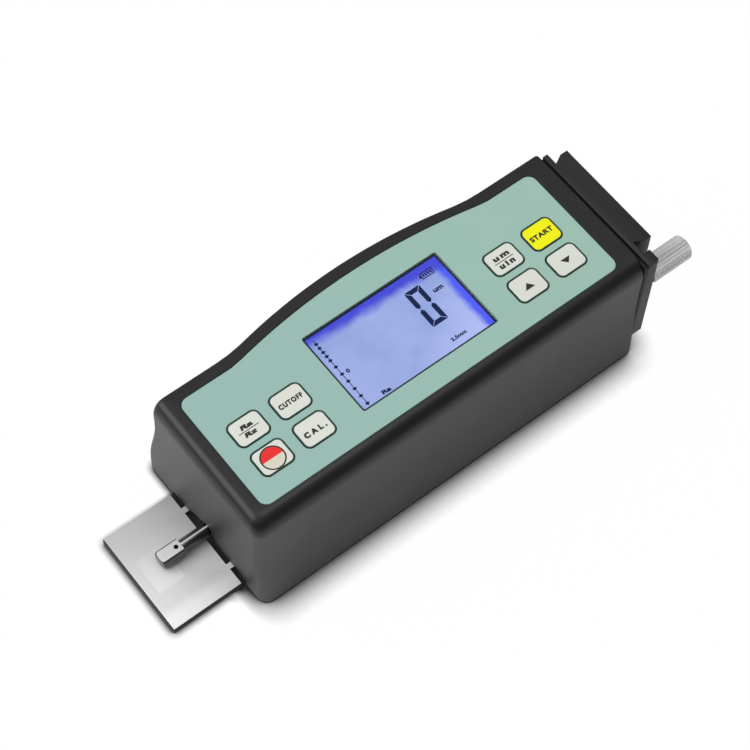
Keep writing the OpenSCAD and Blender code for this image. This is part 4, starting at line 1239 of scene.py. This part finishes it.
@dataclass
class Camera:
    """The photograph's camera: where it looks, from which side and how far away."""

    target: Vector = field(default_factory=lambda: Vector((-14.75, -7.59, 48.0)) * MM)
    distance: float = 612.4 * MM
    azimuth: float = -40.2017
    elevation: float = 60.9407
    roll: float = 2.6242
    lens: float = 103.31
    sensor: float = 36.0
    clip: tuple[float, float] = (0.01, 20.0)

    def build(self) -> None:
        """Makes the camera and sets it as the scene's own."""
        a, e, r = (math.radians(v) for v in (self.azimuth, self.elevation, self.roll))
        back = Vector((math.sin(a) * math.cos(e), -math.cos(a) * math.cos(e), math.sin(e)))
        level = Vector((math.cos(a), math.sin(a), 0.0))
        rise = back.cross(level)
        right = math.cos(r) * level + math.sin(r) * rise
        up = math.cos(r) * rise - math.sin(r) * level
        data = bpy.data.cameras.new("camera")
        data.lens, data.sensor_width = self.lens, self.sensor
        data.clip_start, data.clip_end = self.clip
        camera = bpy.data.objects.new("camera", data)
        turn = Matrix((right, up, back)).transposed()
        camera.matrix_world = Matrix.Translation(self.target + back * self.distance) @ turn.to_4x4()
        bpy.context.scene.collection.objects.link(camera)
        bpy.context.scene.camera = camera


@dataclass(frozen=True)
class Softbox:
    """One large area light."""

    name: str
    place: tuple[float, float, float]
    size: tuple[float, float]
    power: float
    aim: tuple[float, float, float] = (0.0, 0.0, 0.02)
    mirrored: bool = True

    def build(self) -> None:
        """Makes the light, turned to face its aim."""
        data = bpy.data.lights.new(self.name, "AREA")
        data.shape, data.size, data.size_y, data.energy = "RECTANGLE", *self.size, self.power
        light = bpy.data.objects.new(self.name, data)
        light.visible_glossy = self.mirrored
        away = Vector(self.place) - Vector(self.aim)
        turn = away.to_track_quat("Z", "Y").to_matrix().to_4x4()
        light.matrix_world = Matrix.Translation(self.place) @ turn
        bpy.context.scene.collection.objects.link(light)


@dataclass
class Studio:
    """White floor, soft lights and a sky that is brightest over the far side."""

    bright: float = 0.6
    dark: float = 0.05
    mirrored: float = 0.22
    lean: float = 0.5
    sky_span: tuple[float, float] = (0.1, 0.9)
    floor_half: float = 0.6
    floor_z: float = -0.05 * MM
    lights: tuple[Softbox, ...] = (
        Softbox("key", (-0.95, 0.55, 1.05), (1.5, 1.5), 17.5),
        Softbox("top", (0.18, -0.06, 1.2), (0.6, 0.45), 1.6),
        Softbox("fill", (0.2, -0.9, 0.7), (0.8, 0.8), 1.5, mirrored=False),
    )

    def build(self) -> None:
        """Makes the floor, the lights and the world."""
        bm = bmesh.new()
        bmesh.ops.create_grid(bm, x_segments=8, y_segments=8, size=self.floor_half)
        bmesh.ops.translate(bm, verts=bm.verts, vec=(0.0, 0.0, self.floor_z))
        mesh = bpy.data.meshes.new("floor")
        bm.to_mesh(mesh)
        bm.free()
        mesh.materials.append(StudioFloor("studio_floor").material())
        floor = bpy.data.objects.new("floor", mesh)
        bpy.context.scene.collection.objects.link(floor)
        for light in self.lights:
            light.build()
        world = bpy.data.worlds.new("studio")
        bpy.context.scene.world = world
        world.use_nodes = True
        graph = Graph(world.node_tree)
        graph.tree.nodes.clear()
        ray = graph.add("ShaderNodeTexCoord").outputs["Generated"]
        way = graph.add("ShaderNodeSeparateXYZ", Vector=ray)
        height = graph.math("MULTIPLY_ADD", way.outputs["Y"], self.lean, way.outputs["Z"])
        level = graph.remap(height, *self.sky_span, self.dark, self.bright, True)
        path = graph.add("ShaderNodeLightPath")
        seen = graph.math("MAXIMUM", path.outputs["Is Camera Ray"],
                          path.outputs["Is Transmission Ray"])
        mirrored = graph.math("MULTIPLY", path.outputs["Is Glossy Ray"], self.mirrored)
        strength = graph.math("MAXIMUM", level, graph.math("MAXIMUM", seen, mirrored))
        sky = graph.add("ShaderNodeBackground", Color=(1.0, 1.0, 1.0), Strength=strength)
        graph.add("ShaderNodeOutputWorld", Surface=sky.outputs["Background"])


def main() -> None:
    """Builds the dressed scene."""
    logging.basicConfig(level=logging.INFO)
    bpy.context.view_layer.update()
    scene = bpy.context.scene
    scene.view_settings.view_transform = "Standard"
    for part in (Camera(), Studio(), Shells(), SpecimenPlate(), Panel(), Keys(), Screen(), Drive()):
        part.build()
        LOG.info("built %s", type(part).__name__)


if __name__ == "__main__":
    main()
